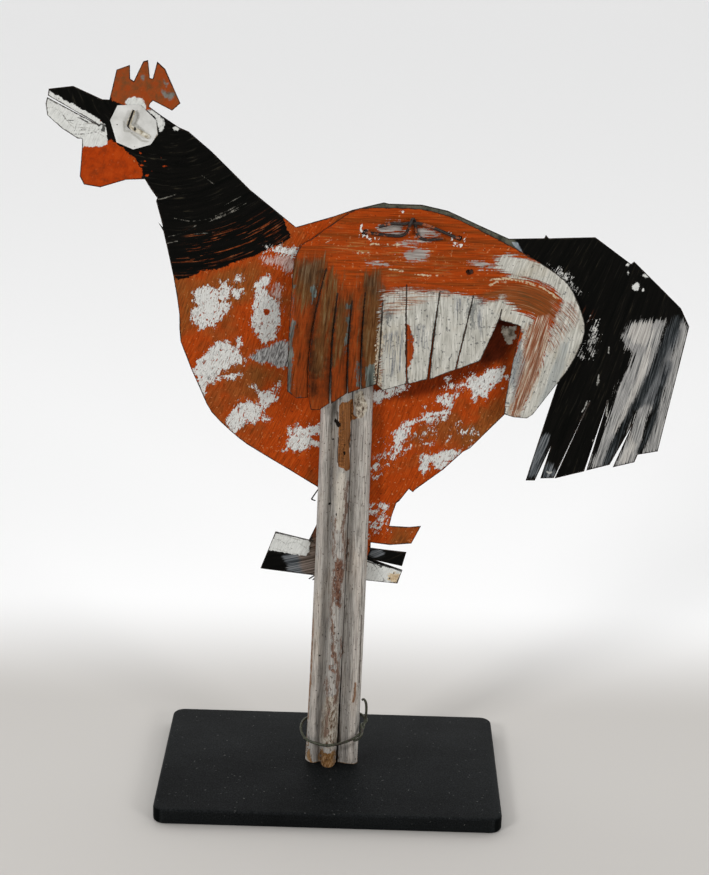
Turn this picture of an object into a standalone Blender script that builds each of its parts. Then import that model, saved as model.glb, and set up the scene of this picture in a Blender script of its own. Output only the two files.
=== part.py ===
# A hen cut from tin sheet, nailed behind a reeded wooden post that stands on a flat base.
# Metres, +Z up, +X towards the tail. The viewer stands on the -Y side. The origin is the middle of the
# base's underside.
import bisect
import math

import bmesh
import bpy
from mathutils import Vector
from mathutils.geometry import delaunay_2d_cdt

# Driving sizes

BASE_LENGTH = 0.305
BASE_DEPTH = 0.200
BASE_THICKNESS = 0.0142
BASE_CORNER_RADIUS = 0.011
BASE_EDGE_RADIUS = 0.0022
CORNER_STEPS = 6
EDGE_STEPS = 3

# The slit left wherever two pieces touch.
TOUCH_GAP = 0.0003
# The wing slopes under its nail's head, which stands off by this many such slits.
NAIL_HEAD_GAPS = 3

POST_HEIGHT = 0.411
POST_FOOT_WIDTH = 0.0478
POST_TOP_WIDTH = 0.0444
POST_DEPTH = 0.024
POST_LOBE_DEPTH = 0.0155
POST_COVE_DEPTH = 0.0125
POST_BACK_Y = 0.010
POST_FOOT_X = 0.0012
POST_LEAN = 0.0055
POST_CRACK_WIDTH = 0.0013
POST_CRACK_DEPTH = 0.011
POST_CRACK_HEIGHT = 0.105
POST_ARRIS_RADIUS = 0.004

# Shares of the post's width, from its left side, at which its mouldings meet.
LOBE_MIDDLE = 0.15
LEFT_COVE_END = 0.30
BEAD_END = 0.58
CRACK_MIDDLE = 0.605
RIGHT_COVE_END = 0.79
ARRIS_SHARE = 0.06
LEFT_FACE = (0, 0.02, 0.06, 0.11, 0.16, 0.21, 0.26, 0.295, 0.302, 0.315, 0.34, 0.38, 0.42, 0.46, 0.50, 0.54,
             0.565, 0.578)
RIGHT_FACE = (0.66, 0.72, 0.78, 0.84, 0.90, 0.94, 0.98, 1)
# How full the bead's sides and its crown are, and what is left of the crack above its end.
BEAD_SIDE_POWER = 2.6
BEAD_CROWN_POWER = 0.59
CRACK_END_WIDTH = 0.25
CRACK_END_DEPTH = 0.12

HEN_LENGTH = 0.5485
SHEET_THICKNESS = 0.0006
WING_STAND_OFF = 0.0052

TIE_WIRE_DIAMETER = 0.0024
EYE_WIRE_DIAMETER = 0.0024
RING_WIRE_DIAMETER = 0.0020
THIN_WIRE_DIAMETER = 0.0008
RING_SIDE_SLACK = 0.0042
RING_LOW = 0.0231
RING_LEFT_RISE = 0.0145
RING_RIGHT_RISE = 0.0215
RING_BULGE = 0.0017
RING_BACK_BULGE = 0.0006
# The ring's standing end, from its tip down to where it joins the ring's right side: (across, up).
RING_HOOK = [(-0.0030, 0.0228), (-0.0014, 0.0240), (0.0006, 0.0205), (0.0012, 0.0130)]

SHEET_NAIL_DIAMETER = 0.0022
SHEET_NAIL_HEAD = 0.0068
SHEET_NAIL_HEAD_THICKNESS = 0.0012
SHEET_NAIL_LENGTH = 0.0150
WING_NAIL_DIAMETER = 0.0018
WING_NAIL_HEAD = 0.0036
WING_NAIL_HEAD_THICKNESS = 0.0009
WING_NAIL_REACH = 0.0055
NAIL_POINT_LENGTH = 0.0025
NAIL_POINT_SHARE = 0.3
NAIL_CROWN_SHARE = 0.72

# The cutting drawing. Its points are (x, z) in units of one millimetre at the real size. All of it grows
# and shrinks with HEN_LENGTH about the middle of the post's top, and it moves with the post.

DRAWN_POST_TOP = (6.5, 425.0)

UPPER_BEAK = [(-247.1, 613.1), (-246.3, 618.6), (-226.3, 621.3), (-202.5, 610.9), (-196.6, 610.7)]
LOWER_BEAK = [(-223.1, 578), (-236, 586.1), (-247.9, 596.9), (-249, 606.3), (-247.7, 611.6)]
MOUTH_CORNER = (-205.3, 589.6)
COMB = [(-190.6, 635.3), (-179.6, 639.4), (-179.4, 628.2), (-176.3, 626.5), (-168.3, 643), (-164.3, 644.1),
        (-163.1, 629.4), (-161, 628.6), (-157.2, 642.7), (-150.6, 636.9), (-138, 609.1), (-144.9, 602.9),
        (-160.7, 610.7), (-163.1, 608.3), (-163.9, 605.8)]
NAPE = [(-154.4, 599.1), (-139.6, 589.5), (-131.2, 586), (-112.1, 570), (-79.8, 538.7), (-40.7, 507.8)]
BACK = [(-9, 518), (7, 524), (33, 531), (37, 530), (65, 530), (87, 525.5), (114.5, 513.6), (139.5, 503.1),
        (169.2, 504.4), (170.4, 507.4), (173.1, 504.4), (212.3, 506.3)]
TAIL_TOP = [(244.2, 483.8), (246.8, 486), (256, 477.5), (274.4, 460.4), (290.2, 445.4), (299.5, 428),
            (281.1, 313.5)]
TAIL_ROOT = [(187.8, 376.3), (183, 392), (165, 371)]
BELLY_BACK = [(143, 347), (115, 316), (109, 312.5), (92.5, 295.5), (68, 275.5), (66.7, 273.5), (63, 276.5),
              (55, 265), (52.5, 263), (49, 251.5), (47, 241.5)]
SPUR = [(64.5, 241.5), (75, 243), (67, 226), (48, 223.5), (31, 225)]
RIGHT_FOOT = [(31, 220), (63, 216), (59.5, 202.6), (35, 208.4), (60, 199), (56, 186), (28, 188.7)]
LEFT_FOOT = [(-18, 192), (-67, 196), (-60, 215), (-54, 232), (-24, 226), (-17, 242)]
LEG_FRONT = [(-6, 250), (-5, 263)]
BREAST = [(-16, 275), (-44, 292), (-79, 313), (-94, 325), (-111, 342), (-119, 358), (-138, 405), (-139, 429),
          (-144, 462), (-152, 499)]
THROAT = [(-152.5, 501.2), (-156.6, 508.6), (-152.9, 504.4), (-153.7, 508.6), (-158.5, 527), (-157.4, 529.4),
          (-162.3, 536.1), (-167.8, 545.1)]
WATTLE = [(-183.4, 544.3), (-205, 537.4), (-218.6, 539.5), (-222, 546.3), (-219.7, 570.4), (-219.5, 578)]

# Each cut between two tail feathers: its head, and its two lips at the feathers' ends.
TAIL_CUTS = [
    ((256.1, 341), (241.5, 300.7), (237.8, 304.5)),
    ((232.7, 362), (217.8, 298.9), (216.4, 296.5)),
    ((216.8, 360.6), (190.9, 289.4), (189.7, 291.4)),
    ((185.9, 319.5), (177.8, 290.7), (173.5, 287)),
]
TAIL_STEP = [(262.6, 312.4), (260.2, 305.5)]
TAIL_END = [(165.5, 286.8)]
TAIL_CREASE = ((261, 313), (281, 424))
TAIL_CREASE_ANGLE = math.radians(20)
TAIL_CREASE_TOP = 490

# The hen's sheet isn't quite flat: where each bend starts and ends, and how far it has gone by its end.
HEAD_BEND = (-70, -250, 5.0)
COMB_BEND = (612, 644, 1.6)
COMB_MIDDLE_TOOTH = (-177, -162)
COMB_BACK = -130
TAIL_LEAN = (140, 297, 6.0)
TAIL_CURL = (400, 290, 2.4)
TAIL_CURL_START = 160
RIGHT_FOOT_BEND = (34, 75, 2.5)
RIGHT_FOOT_SPLIT = 222
LEFT_FOOT_BEND = (-20, -67, 3.0)
LEG_TOP = 246

WING_LEFT_EDGE = [(-29, 497), (-35.6, 493), (-41.5, 480), (-42.6, 452), (-44.2, 415), (-44.4, 372)]
WING_RIGHT_EDGE = [(182.2, 374.6), (193.8, 391.2), (202.8, 408.8), (207.4, 426.2), (205.4, 439),
                   (194.4, 462.2), (179.7, 475.8), (149.3, 493.1), (110.5, 512.1), (87.5, 521.4),
                   (64.8, 526.4), (38.5, 526.8), (16, 526.1), (4.9, 522.3), (-29, 497)]
WING_TIP_EDGE = [(142.3, 352.2), (150.2, 350.4), (161.7, 349.4), (166.7, 352.7), (182.2, 374.6)]
MISSING_FEATHER = [(119.1, 399.3), (133.5, 435), (135.6, 444.5), (134.2, 435.4), (152.4, 429.8),
                   (148.5, 405.4), (142.8, 366)]

# Each cut in the wing: head, foot, sideways bow at its middle and width at its foot. Between two cuts
# hangs a strip, and the first six strips are pleated.
WING_CUTS = [
    ((-14, 475), (-26.3, 366.5), -4.5, 0.9),
    ((-3.7, 456), (-7.6, 362), -1.8, 1.6),
    ((8.6, 451), (6.8, 371.5), -1.2, 0.7),
    ((19.5, 458), (18, 375.7), -0.9, 0.7),
    ((34.2, 449), (31.5, 379.8), 0.6, 0.7),
    ((54.3, 463), (57.4, 378.5), -0.7, 0.7),
    ((82.6, 458.6), (75.6, 382.5), -0.6, 2.0),
    ((111, 455.2), (98.6, 391.5), 0.0, 0.8),
]
PLEATED_STRIPS = 6
# The corners between the two cuts at the foot of each strip.
STRIP_ENDS = [[(-36.5, 366.4)], [(-24.1, 356.3), (-16.7, 356.5)], [(-3.2, 365)], [], [],
              [(36.6, 373)], [], []]

PLEAT_BULGE = 2.2
PLEAT_INSET = 0.4
PLEAT_TWIST = 2.0
PLEAT_TOP = 478
PLEAT_FULL = 423
WING_BEND_TOP = 503
WING_BEND_FOOT = 431
FLAP_FOLD = (29, 40)
FEATHER_SHARE = 0.68
FEATHER_FALL = 0.085
TIP_FOLD = (138, 162)
TIP_OUT = 5.0
TIP_SPREAD = 0.06
TIP_CREASE = ((175.7, 436.7), (153, 355.9))
TIP_CREASE_HEIGHT = 3.6
TIP_CREASE_REACH = 18
TIP_CREASE_START = 452
TIP_CREASE_FULL = 407
TIP_SPREAD_TOP = 470

EYE_DISC = [(-189.8, 606.4), (-171.1, 607.2), (-158.1, 594.9), (-156.6, 583), (-162.7, 574.5),
            (-177.1, 570.1), (-190.9, 575.8), (-196, 594)]
EYE_HOLE = (-164.8, 581.3)
EYE_BEND = (-180.6, 590.2)
# The eye wire's free prong, from its end: its drawn points, and how far each stands off the lying part.
EYE_PRONG = [((-176, 603), 0.0026), ((-179.4, 593.8), 0.0016), ((-180.4, 591.4), 0.0012),
             ((-179.2, 589.4), 0.0010), ((-172.7, 585.8), 0.0004)]
TIE_HOLES = ((18.1, 505.6), (97, 502.5))
WING_NAIL_PLACE = (108.4, 475.2)
SHEET_NAIL_HEIGHTS = {"sheet_nail_top": 398, "sheet_nail_middle": 300, "sheet_nail_foot": 214}
HOLE_SIDES = 10
# A wire's bend into a hole, as reaches along the sheet and dips into it, both in wire diameters.
WIRE_BEND = ((1.25, 0.0), (0.45, 0.1), (0.0, 0.55))
RING_WIND_START = 20
RING_WINDS = 1.25
RING_WIND_STEPS = 5

BODY_GRID = 15.5
WING_GRID = 15
GRID_ROW_SHARE = 0.87
GRID_EDGE_SHARE = 0.42
STRIP_ROWS = 9
STRIP_COLUMNS = 4
STRIP_EDGE_CLEAR = 1.2


def drawn_length():
    xs = [x for x, z in UPPER_BEAK + LOWER_BEAK + TAIL_TOP]
    return max(xs) - min(xs)


UNIT = HEN_LENGTH / drawn_length()
POST_FRONT_Y = POST_BACK_Y - POST_DEPTH
POST_TOP_Z = BASE_THICKNESS + TOUCH_GAP + POST_HEIGHT
BODY_Y = POST_BACK_Y + TOUCH_GAP + SHEET_THICKNESS / 2
WING_Y = BODY_Y - SHEET_THICKNESS - TOUCH_GAP


# Small helpers

def smooth(low, high, value):
    t = min(1.0, max(0.0, (value - low) / (high - low)))
    return t * t * (3 - 2 * t)


def post_middle_x(height):
    t = height / POST_HEIGHT
    return POST_FOOT_X + POST_LEAN * (1 - (1 - t) ** 2)


def post_width(height):
    return POST_FOOT_WIDTH + (POST_TOP_WIDTH - POST_FOOT_WIDTH) * height / POST_HEIGHT


def placed(x, z, y=0.0):
    """World position of a drawn point, at depth y."""
    top_x, top_z = DRAWN_POST_TOP
    return Vector((post_middle_x(POST_HEIGHT) + (x - top_x) * UNIT, y, POST_TOP_Z + (z - top_z) * UNIT))


def curve_through(points, steps):
    """Smooth curve through points of any dimension, with the end points kept.

    A short span next to a long one takes a slope no steeper than itself, so the curve never turns back.
    """
    pts = [Vector(p) for p in points]
    pts = [2 * pts[0] - pts[1]] + pts + [2 * pts[-1] - pts[-2]]
    out = []
    for a, b, c, d in zip(pts, pts[1:], pts[2:], pts[3:]):
        span = (c - b).length
        leave, arrive = (way * min(1, span / way.length) for way in ((c - a) / 2, (d - b) / 2))
        for k in range(steps):
            t = k / steps
            from_b = 1 - 3 * t ** 2 + 2 * t ** 3
            out.append(from_b * b + (1 - from_b) * c + (t - 2 * t ** 2 + t ** 3) * leave
                       + (t ** 3 - t ** 2) * arrive)
    out.append(pts[-2])
    return out


def circle(centre, radius, sides):
    return [(centre[0] + radius * math.cos(2 * math.pi * k / sides),
             centre[1] + radius * math.sin(2 * math.pi * k / sides)) for k in range(sides)]


def make_material(name, colour, roughness, metallic):
    material = bpy.data.materials.new(name)
    material.use_nodes = True
    shader = material.node_tree.nodes["Principled BSDF"]
    shader.inputs["Base Color"].default_value = (*colour, 1)
    shader.inputs["Roughness"].default_value = roughness
    shader.inputs["Metallic"].default_value = metallic
    material.diffuse_color = (*colour, 1)
    return material


def add_object(name, data, material):
    obj = bpy.data.objects.new(name, data)
    bpy.context.scene.collection.objects.link(obj)
    if material is not None:
        data.materials.append(material)
    return obj


def mesh_from(name, bm):
    bmesh.ops.recalc_face_normals(bm, faces=bm.faces)
    mesh = bpy.data.meshes.new(name)
    bm.to_mesh(mesh)
    bm.free()
    return mesh


def add_modifier(obj, kind, **settings):
    modifier = obj.modifiers.new(kind.title(), kind)
    for key, value in settings.items():
        setattr(modifier, key, value)
    return modifier


# Sheet metal: outlines, holes and bends

def inside(outline, x, z):
    odd = False
    for (x1, z1), (x2, z2) in zip(outline, outline[1:] + outline[:1]):
        if (z1 > z) != (z2 > z) and x < x1 + (z - z1) * (x2 - x1) / (z2 - z1):
            odd = not odd
    return odd


def edge_distance(loops, x, z):
    p = Vector((x, z))
    nearest = math.inf
    for loop in loops:
        for a, b in zip(loop, loop[1:] + loop[:1]):
            a, b = Vector(a), Vector(b)
            along = (p - a).dot(b - a) / (b - a).length_squared
            nearest = min(nearest, (p - a - (b - a) * min(1, max(0, along))).length)
    return nearest


def grid_points(outline, holes, spacing):
    """Staggered points inside the outline, for the sheet to bend at."""
    points = []
    row_step = spacing * GRID_ROW_SHARE
    low = [min(p[k] for p in outline) for k in (0, 1)]
    high = [max(p[k] for p in outline) for k in (0, 1)]
    rows = math.ceil((high[1] - low[1]) / row_step)
    columns = math.ceil((high[0] - low[0]) / spacing) + 1
    for row in range(rows):
        for column in range(columns):
            x = low[0] + spacing * (column + 0.5 * (row % 2))
            z = low[1] + row_step * (row + 0.5)
            if inside(outline, x, z) and edge_distance([outline] + holes, x, z) > spacing * GRID_EDGE_SHARE:
                points.append((x, z))
    return points


def cut_sheet(name, outline, holes, bend_points, bend, middle_y, material):
    """One piece of sheet: triangles inside the outline, bent by the function and given its thickness."""
    loops = [outline] + holes
    points = []
    faces = []
    for loop in loops:
        faces.append(list(range(len(points), len(points) + len(loop))))
        points += [Vector(p) for p in loop]
    edges = [(a, b) for face in faces for a, b in zip(face, face[1:] + face[:1])]
    points += [Vector(p) for p in bend_points]
    flat, _, triangles, *_ = delaunay_2d_cdt(points, edges, [], 0, 1e-5, False)
    bm = bmesh.new()
    verts = [bm.verts.new(placed(p.x, p.y, middle_y - bend(p.x, p.y))) for p in flat]
    for triangle in triangles:
        centre = sum((flat[k] for k in triangle), Vector((0, 0))) / 3
        if inside(outline, *centre) and not any(inside(hole, *centre) for hole in holes):
            bm.faces.new([verts[k] for k in triangle])
    bmesh.ops.delete(bm, geom=[v for v in bm.verts if not v.link_faces], context="VERTS")
    obj = add_object(name, mesh_from(name, bm), material)
    add_modifier(obj, "SOLIDIFY", thickness=SHEET_THICKNESS, offset=0)
    return obj


def wire(name, path, diameter, material, steps=3, resolution=2):
    """A round wire along a smooth curve through the path's points."""
    curve = bpy.data.curves.new(name, "CURVE")
    curve.dimensions = "3D"
    curve.bevel_depth = diameter / 2
    curve.bevel_resolution = resolution
    curve.use_fill_caps = True
    route = curve_through(path, steps)
    spline = curve.splines.new("POLY")
    spline.points.add(len(route) - 1)
    for point, place in zip(spline.points, route):
        point.co = (*place, 1)
    return add_object(name, curve, material)


# Base: a block with round corners and eased edges

def build_base(material):
    bm = bmesh.new()
    ring = []
    radius = BASE_CORNER_RADIUS
    for quarter in range(4):
        corner_x = (BASE_LENGTH / 2 - radius) * (1 if quarter in (0, 3) else -1)
        corner_y = (BASE_DEPTH / 2 - radius) * (1 if quarter in (0, 1) else -1)
        for step in range(CORNER_STEPS + 1):
            angle = math.pi / 2 * (quarter + step / CORNER_STEPS)
            ring.append((corner_x + radius * math.cos(angle), corner_y + radius * math.sin(angle)))
    face = bm.faces.new([bm.verts.new((x, y, 0)) for x, y in ring])
    top = bmesh.ops.extrude_face_region(bm, geom=[face])
    bmesh.ops.translate(bm, vec=(0, 0, BASE_THICKNESS),
                        verts=[v for v in top["geom"] if isinstance(v, bmesh.types.BMVert)])
    obj = add_object("base", mesh_from("base", bm), material)
    add_modifier(obj, "BEVEL", width=BASE_EDGE_RADIUS, segments=EDGE_STEPS, limit_method="ANGLE",
                 angle_limit=math.radians(40))
    return obj


# Post: a reeded moulding, with a lobe, a cove, a raised bead, a cove and a lobe across its front

def front_height(share):
    """Height of the moulding's face over its back, at a share of its width from the left."""
    if share < LEFT_COVE_END:
        lobe = math.cos(math.pi * min(1, abs(share - LOBE_MIDDLE) / LOBE_MIDDLE)) / 2 + 0.5
    else:
        lobe = smooth(BEAD_END, RIGHT_COVE_END + LOBE_MIDDLE / 2, share)
    side = POST_COVE_DEPTH + (POST_LOBE_DEPTH - POST_COVE_DEPTH) * lobe
    half = (BEAD_END - LEFT_COVE_END) / 2
    from_bead = abs(share - (LEFT_COVE_END + half)) / half
    if from_bead < 1:
        return side + (POST_DEPTH - side) * (1 - from_bead ** BEAD_SIDE_POWER) ** BEAD_CROWN_POWER
    return side


def post_section(height):
    """Points round the moulding, from the back's left corner across the front to its right corner."""
    width = post_width(height)
    left = post_middle_x(height) - width / 2
    open_share = max(0.0, 1 - height / POST_CRACK_HEIGHT)
    crack_half = (CRACK_END_WIDTH + (1 - CRACK_END_WIDTH) * open_share) * POST_CRACK_WIDTH / 2
    crack_depth = (CRACK_END_DEPTH + (1 - CRACK_END_DEPTH) * smooth(0, 1, open_share)) * POST_CRACK_DEPTH
    crack_x = left + CRACK_MIDDLE * width

    def face_point(share):
        from_side = min(share, 1 - share)
        round_off = POST_ARRIS_RADIUS * max(0.0, 1 - from_side / ARRIS_SHARE) ** 2
        return (left + share * width, POST_BACK_Y - front_height(share) + round_off)

    lip = POST_BACK_Y - front_height(CRACK_MIDDLE)
    points = [(left, POST_BACK_Y)] + [face_point(share) for share in LEFT_FACE]
    points += [(crack_x - crack_half, lip), (crack_x, lip + crack_depth), (crack_x + crack_half, lip)]
    return points + [face_point(share) for share in RIGHT_FACE] + [(left + width, POST_BACK_Y)]


def build_post(material):
    foot_z = BASE_THICKNESS + TOUCH_GAP
    heights = [0.0, POST_CRACK_HEIGHT * 0.35, POST_CRACK_HEIGHT * 0.7, POST_CRACK_HEIGHT]
    rest = POST_HEIGHT - POST_CRACK_HEIGHT
    heights += [POST_CRACK_HEIGHT + rest * k / 6 for k in range(1, 7)]
    bm = bmesh.new()
    rings = [[bm.verts.new((x, y, foot_z + height)) for x, y in post_section(height)] for height in heights]
    for low, high in zip(rings, rings[1:]):
        for k in range(len(low)):
            n = (k + 1) % len(low)
            bm.faces.new((low[k], low[n], high[n], high[k]))
    bm.faces.new(rings[0])
    bm.faces.new(rings[-1])
    post = add_object("post", mesh_from("post", bm), material)
    for name, height in SHEET_NAIL_HEIGHTS.items():
        place = nail_place(height)
        depth = SHEET_NAIL_LENGTH + 2 * TOUCH_GAP
        radius = SHEET_NAIL_DIAMETER / 2 + TOUCH_GAP
        cutter = turned("hole_for_" + name, place, [(POST_BACK_Y - depth, radius),
                                                    (POST_BACK_Y + TOUCH_GAP, radius)], None)
        cutter.hide_render = True
        cutter.display_type = "WIRE"
        add_modifier(post, "BOOLEAN", operation="DIFFERENCE", solver="EXACT", object=cutter)
    return post


# Hen: one sheet for head, comb, body, tail, leg and feet

def tail_strip(x, z):
    """Number of tail cuts that lie to the left of a point."""
    count = 0
    for head, right_lip, left_lip in TAIL_CUTS:
        foot_x = (right_lip[0] + left_lip[0]) / 2
        foot_z = (right_lip[1] + left_lip[1]) / 2
        along = (head[1] - z) / (head[1] - foot_z)
        if x > head[0] + (foot_x - head[0]) * along:
            count += 1
    return count


def body_bend(x, z):
    """How far the hen's sheet stands towards the viewer from its nailed plane, in metres."""
    start, end, amount = HEAD_BEND
    out = amount * max(0.0, (x - start) / (end - start)) ** 2
    (x1, z1), (x2, z2) = TAIL_CREASE
    crease_x = x1 + (x2 - x1) * (z - z1) / (z2 - z1)
    if x > crease_x and z < TAIL_CREASE_TOP:
        out -= math.tan(TAIL_CREASE_ANGLE) * (x - crease_x)
    start, end, amount = TAIL_CURL
    if x > TAIL_CURL_START and z < start:
        way = 1 if tail_strip(x, z) % 2 else -1
        out += way * amount * smooth(0, start - end, start - z)
    start, end, amount = TAIL_LEAN
    out -= amount * max(0.0, (x - start) / (end - start)) ** 2
    start, end, amount = COMB_BEND
    if x < COMB_BACK and z > start:
        way = 1 if COMB_MIDDLE_TOOTH[0] < x < COMB_MIDDLE_TOOTH[1] else -1
        out += way * amount * smooth(start, end, z)
    start, end, amount = RIGHT_FOOT_BEND
    if x > start and z < LEG_TOP:
        out += amount * smooth(start, end, x) * (1 if z > RIGHT_FOOT_SPLIT else -1)
    start, end, amount = LEFT_FOOT_BEND
    if x < start and z < LEG_TOP:
        out -= amount * smooth(0, start - end, start - x)
    return out * UNIT


def hen_outline():
    outline = UPPER_BEAK + COMB + NAPE + BACK + TAIL_TOP + TAIL_STEP
    for head, right_lip, left_lip in TAIL_CUTS:
        outline = outline + [right_lip, head, left_lip]
    outline = outline + TAIL_END + TAIL_ROOT + BELLY_BACK + SPUR + RIGHT_FOOT + LEFT_FOOT + LEG_FRONT
    outline = outline + [tuple(p) for p in curve_through(BREAST, 2)] + THROAT + WATTLE
    return outline + LOWER_BEAK + [MOUTH_CORNER]


def nail_place(drawn_height):
    height = placed(0, drawn_height).z - BASE_THICKNESS - TOUCH_GAP
    return Vector((post_middle_x(height), 0, placed(0, drawn_height).z))


def drawn(place):
    """Drawn point of a world position."""
    top = placed(*DRAWN_POST_TOP)
    return (DRAWN_POST_TOP[0] + (place.x - top.x) / UNIT, DRAWN_POST_TOP[1] + (place.z - top.z) / UNIT)


def hole(centre, diameter):
    return circle(centre, (diameter / 2 + TOUCH_GAP * 1.5) / UNIT, HOLE_SIDES)


def build_hen_sheet(material):
    outline = hen_outline()
    holes = [hole(place, TIE_WIRE_DIAMETER) for place in TIE_HOLES]
    holes.append(hole(EYE_HOLE, EYE_WIRE_DIAMETER))
    holes.append(hole(WING_NAIL_PLACE, WING_NAIL_DIAMETER))
    holes += [hole(drawn(nail_place(height)), SHEET_NAIL_DIAMETER) for height in SHEET_NAIL_HEIGHTS.values()]
    return cut_sheet("hen_sheet", outline, holes, grid_points(outline, holes, BODY_GRID), body_bend, BODY_Y,
                     material)


# Wing: one sheet on the near side, flat at the tie, bent out over the post and slit into strips

def cut_point(cut, z, side=0):
    """Point of a wing cut at height z, on its left (-1) or right (1) lip or on its middle line (0)."""
    head, foot, bow, width = cut
    along = (head[1] - z) / (head[1] - foot[1])
    x = head[0] + (foot[0] - head[0]) * along + 4 * bow * along * (1 - along)
    return (x + side * width / 2 * along, z)


def strip_span(index, z):
    """Left and right edge of a pleated strip at height z."""
    left = WING_LEFT_EDGE[-1][0] if index == 0 else cut_point(WING_CUTS[index - 1], z)[0]
    right = cut_point(WING_CUTS[index], z)[0]
    return left, right


def wing_bend(x, z):
    """How far the wing stands towards the viewer from where it touches the hen, in metres."""
    drop = smooth(0, WING_BEND_TOP - WING_BEND_FOOT, WING_BEND_TOP - z)
    flap = (WING_Y - POST_FRONT_Y + WING_STAND_OFF) / UNIT
    feathers = flap * FEATHER_SHARE - FEATHER_FALL * max(0.0, x - FLAP_FOLD[1])
    fold = smooth(*FLAP_FOLD, x)
    out = flap * (1 - fold) + feathers * fold
    tip = smooth(*TIP_FOLD, x)
    out = out * (1 - tip) + (TIP_OUT + TIP_SPREAD * max(0.0, TIP_SPREAD_TOP - z)) * tip
    out = out * drop
    if x < FLAP_FOLD[1] and z < PLEAT_TOP:
        starts = [cut_point(cut, z)[0] for cut in WING_CUTS[:PLEATED_STRIPS]]
        index = min(bisect.bisect_right(starts, x), PLEATED_STRIPS - 1)
        left, right = strip_span(index, z)
        across = min(1.0, max(0.0, (x - left) / (right - left)))
        depth = smooth(0, PLEAT_TOP - PLEAT_FULL, PLEAT_TOP - z) * (1 - fold)
        bulge = PLEAT_BULGE * (math.sin(math.pi * across) - PLEAT_INSET)
        out += depth * (bulge - PLEAT_TWIST * (across - 0.5))
    (x1, z1), (x2, z2) = TIP_CREASE
    crease_x = x1 + (x2 - x1) * (z - z1) / (z2 - z1)
    ridge = max(0.0, 1 - abs(x - crease_x) / TIP_CREASE_REACH)
    out += TIP_CREASE_HEIGHT * ridge * smooth(0, TIP_CREASE_START - TIP_CREASE_FULL, TIP_CREASE_START - z)
    return out * UNIT


def wing_outline():
    outline = [tuple(p) for p in curve_through(WING_LEFT_EDGE, 2)]
    for cut, ends in zip(WING_CUTS, STRIP_ENDS):
        head, foot = cut[0], cut[1]
        rows = [foot[1] + (head[1] - foot[1]) * k / STRIP_ROWS for k in range(STRIP_ROWS)]
        outline += ends
        outline += [cut_point(cut, z, -1) for z in rows] + [head]
        outline += [cut_point(cut, z, 1) for z in reversed(rows)]
    outline += MISSING_FEATHER + WING_TIP_EDGE
    outline += [tuple(p) for p in curve_through(WING_RIGHT_EDGE, 2)][1:-1]
    return outline


def strip_points():
    """Rows of points across each pleated strip, so that it bends round."""
    points = []
    for index in range(PLEATED_STRIPS):
        foot_z = WING_CUTS[index][1][1]
        for row in range(STRIP_ROWS + 2):
            z = foot_z + (PLEAT_TOP - foot_z) * (row + 0.5) / (STRIP_ROWS + 2)
            left, right = strip_span(index, z)
            points += [(left + (right - left) * k / STRIP_COLUMNS, z) for k in range(1, STRIP_COLUMNS)]
    return points


def build_wing(material):
    outline = wing_outline()
    holes = [hole(place, TIE_WIRE_DIAMETER) for place in TIE_HOLES]
    holes.append(hole(WING_NAIL_PLACE, WING_NAIL_DIAMETER))
    points = strip_points()
    points = [p for p in points if inside(outline, *p) and edge_distance([outline], *p) > STRIP_EDGE_CLEAR]
    points += [p for p in grid_points(outline, holes, WING_GRID) if p[0] > FLAP_FOLD[1] or p[1] > PLEAT_TOP]
    return cut_sheet("wing", outline, holes, points, wing_bend, WING_Y, material)


# Nails and wires

def turned(name, place, layers, material, sides=12):
    """A solid turned about a line along Y, from (y, radius) pairs."""
    bm = bmesh.new()
    rings = []
    for y, radius in layers:
        rings.append([bm.verts.new((place.x + radius * math.cos(2 * math.pi * k / sides), y,
                                    place.z + radius * math.sin(2 * math.pi * k / sides)))
                      for k in range(sides)])
    for low, high in zip(rings, rings[1:]):
        for k in range(sides):
            n = (k + 1) % sides
            bm.faces.new((low[k], low[n], high[n], high[k]))
    bm.faces.new(rings[0])
    bm.faces.new(rings[-1])
    return add_object(name, mesh_from(name, bm), material)


def build_sheet_nails(material):
    back = BODY_Y + SHEET_THICKNESS / 2
    for name, height in SHEET_NAIL_HEIGHTS.items():
        room = TOUCH_GAP if name == "sheet_nail_top" else THIN_WIRE_DIAMETER + 2 * TOUCH_GAP
        radius = SHEET_NAIL_DIAMETER / 2
        head = SHEET_NAIL_HEAD / 2
        tip = POST_BACK_Y - SHEET_NAIL_LENGTH
        under = back + room
        turned(name, nail_place(height), [
            (tip, radius * NAIL_POINT_SHARE), (tip + NAIL_POINT_LENGTH, radius), (under, radius),
            (under, head), (under + SHEET_NAIL_HEAD_THICKNESS / 2, head),
            (under + SHEET_NAIL_HEAD_THICKNESS, head * NAIL_CROWN_SHARE)], material)


def build_wing_nail(material):
    radius = WING_NAIL_DIAMETER / 2
    head = WING_NAIL_HEAD / 2
    front = WING_Y - wing_bend(*WING_NAIL_PLACE) - SHEET_THICKNESS / 2
    under = front - TOUCH_GAP * NAIL_HEAD_GAPS
    tip = BODY_Y + SHEET_THICKNESS / 2 + WING_NAIL_REACH
    turned("wing_nail", placed(*WING_NAIL_PLACE), [
        (under - WING_NAIL_HEAD_THICKNESS, head * NAIL_CROWN_SHARE), (under, head), (under, radius),
        (tip - NAIL_POINT_LENGTH, radius), (tip, radius * NAIL_POINT_SHARE)], material)


def through_hole(place, front_way, back_way, front_y, back_y, diameter):
    """Points of a wire that comes along the front, dives through a hole and leaves along the back.

    Each way is the drawn direction in which the wire lies away from the hole.
    """
    x, z = place
    legs = []
    for way, y, into in ((front_way, front_y, 1), (back_way, back_y, -1)):
        side = Vector(way).normalized() * diameter / UNIT
        legs.append([placed(x + side.x * reach, z + side.y * reach, y + into * diameter * dip)
                     for reach, dip in WIRE_BEND])
    return legs[0] + legs[1][::-1]


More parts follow.
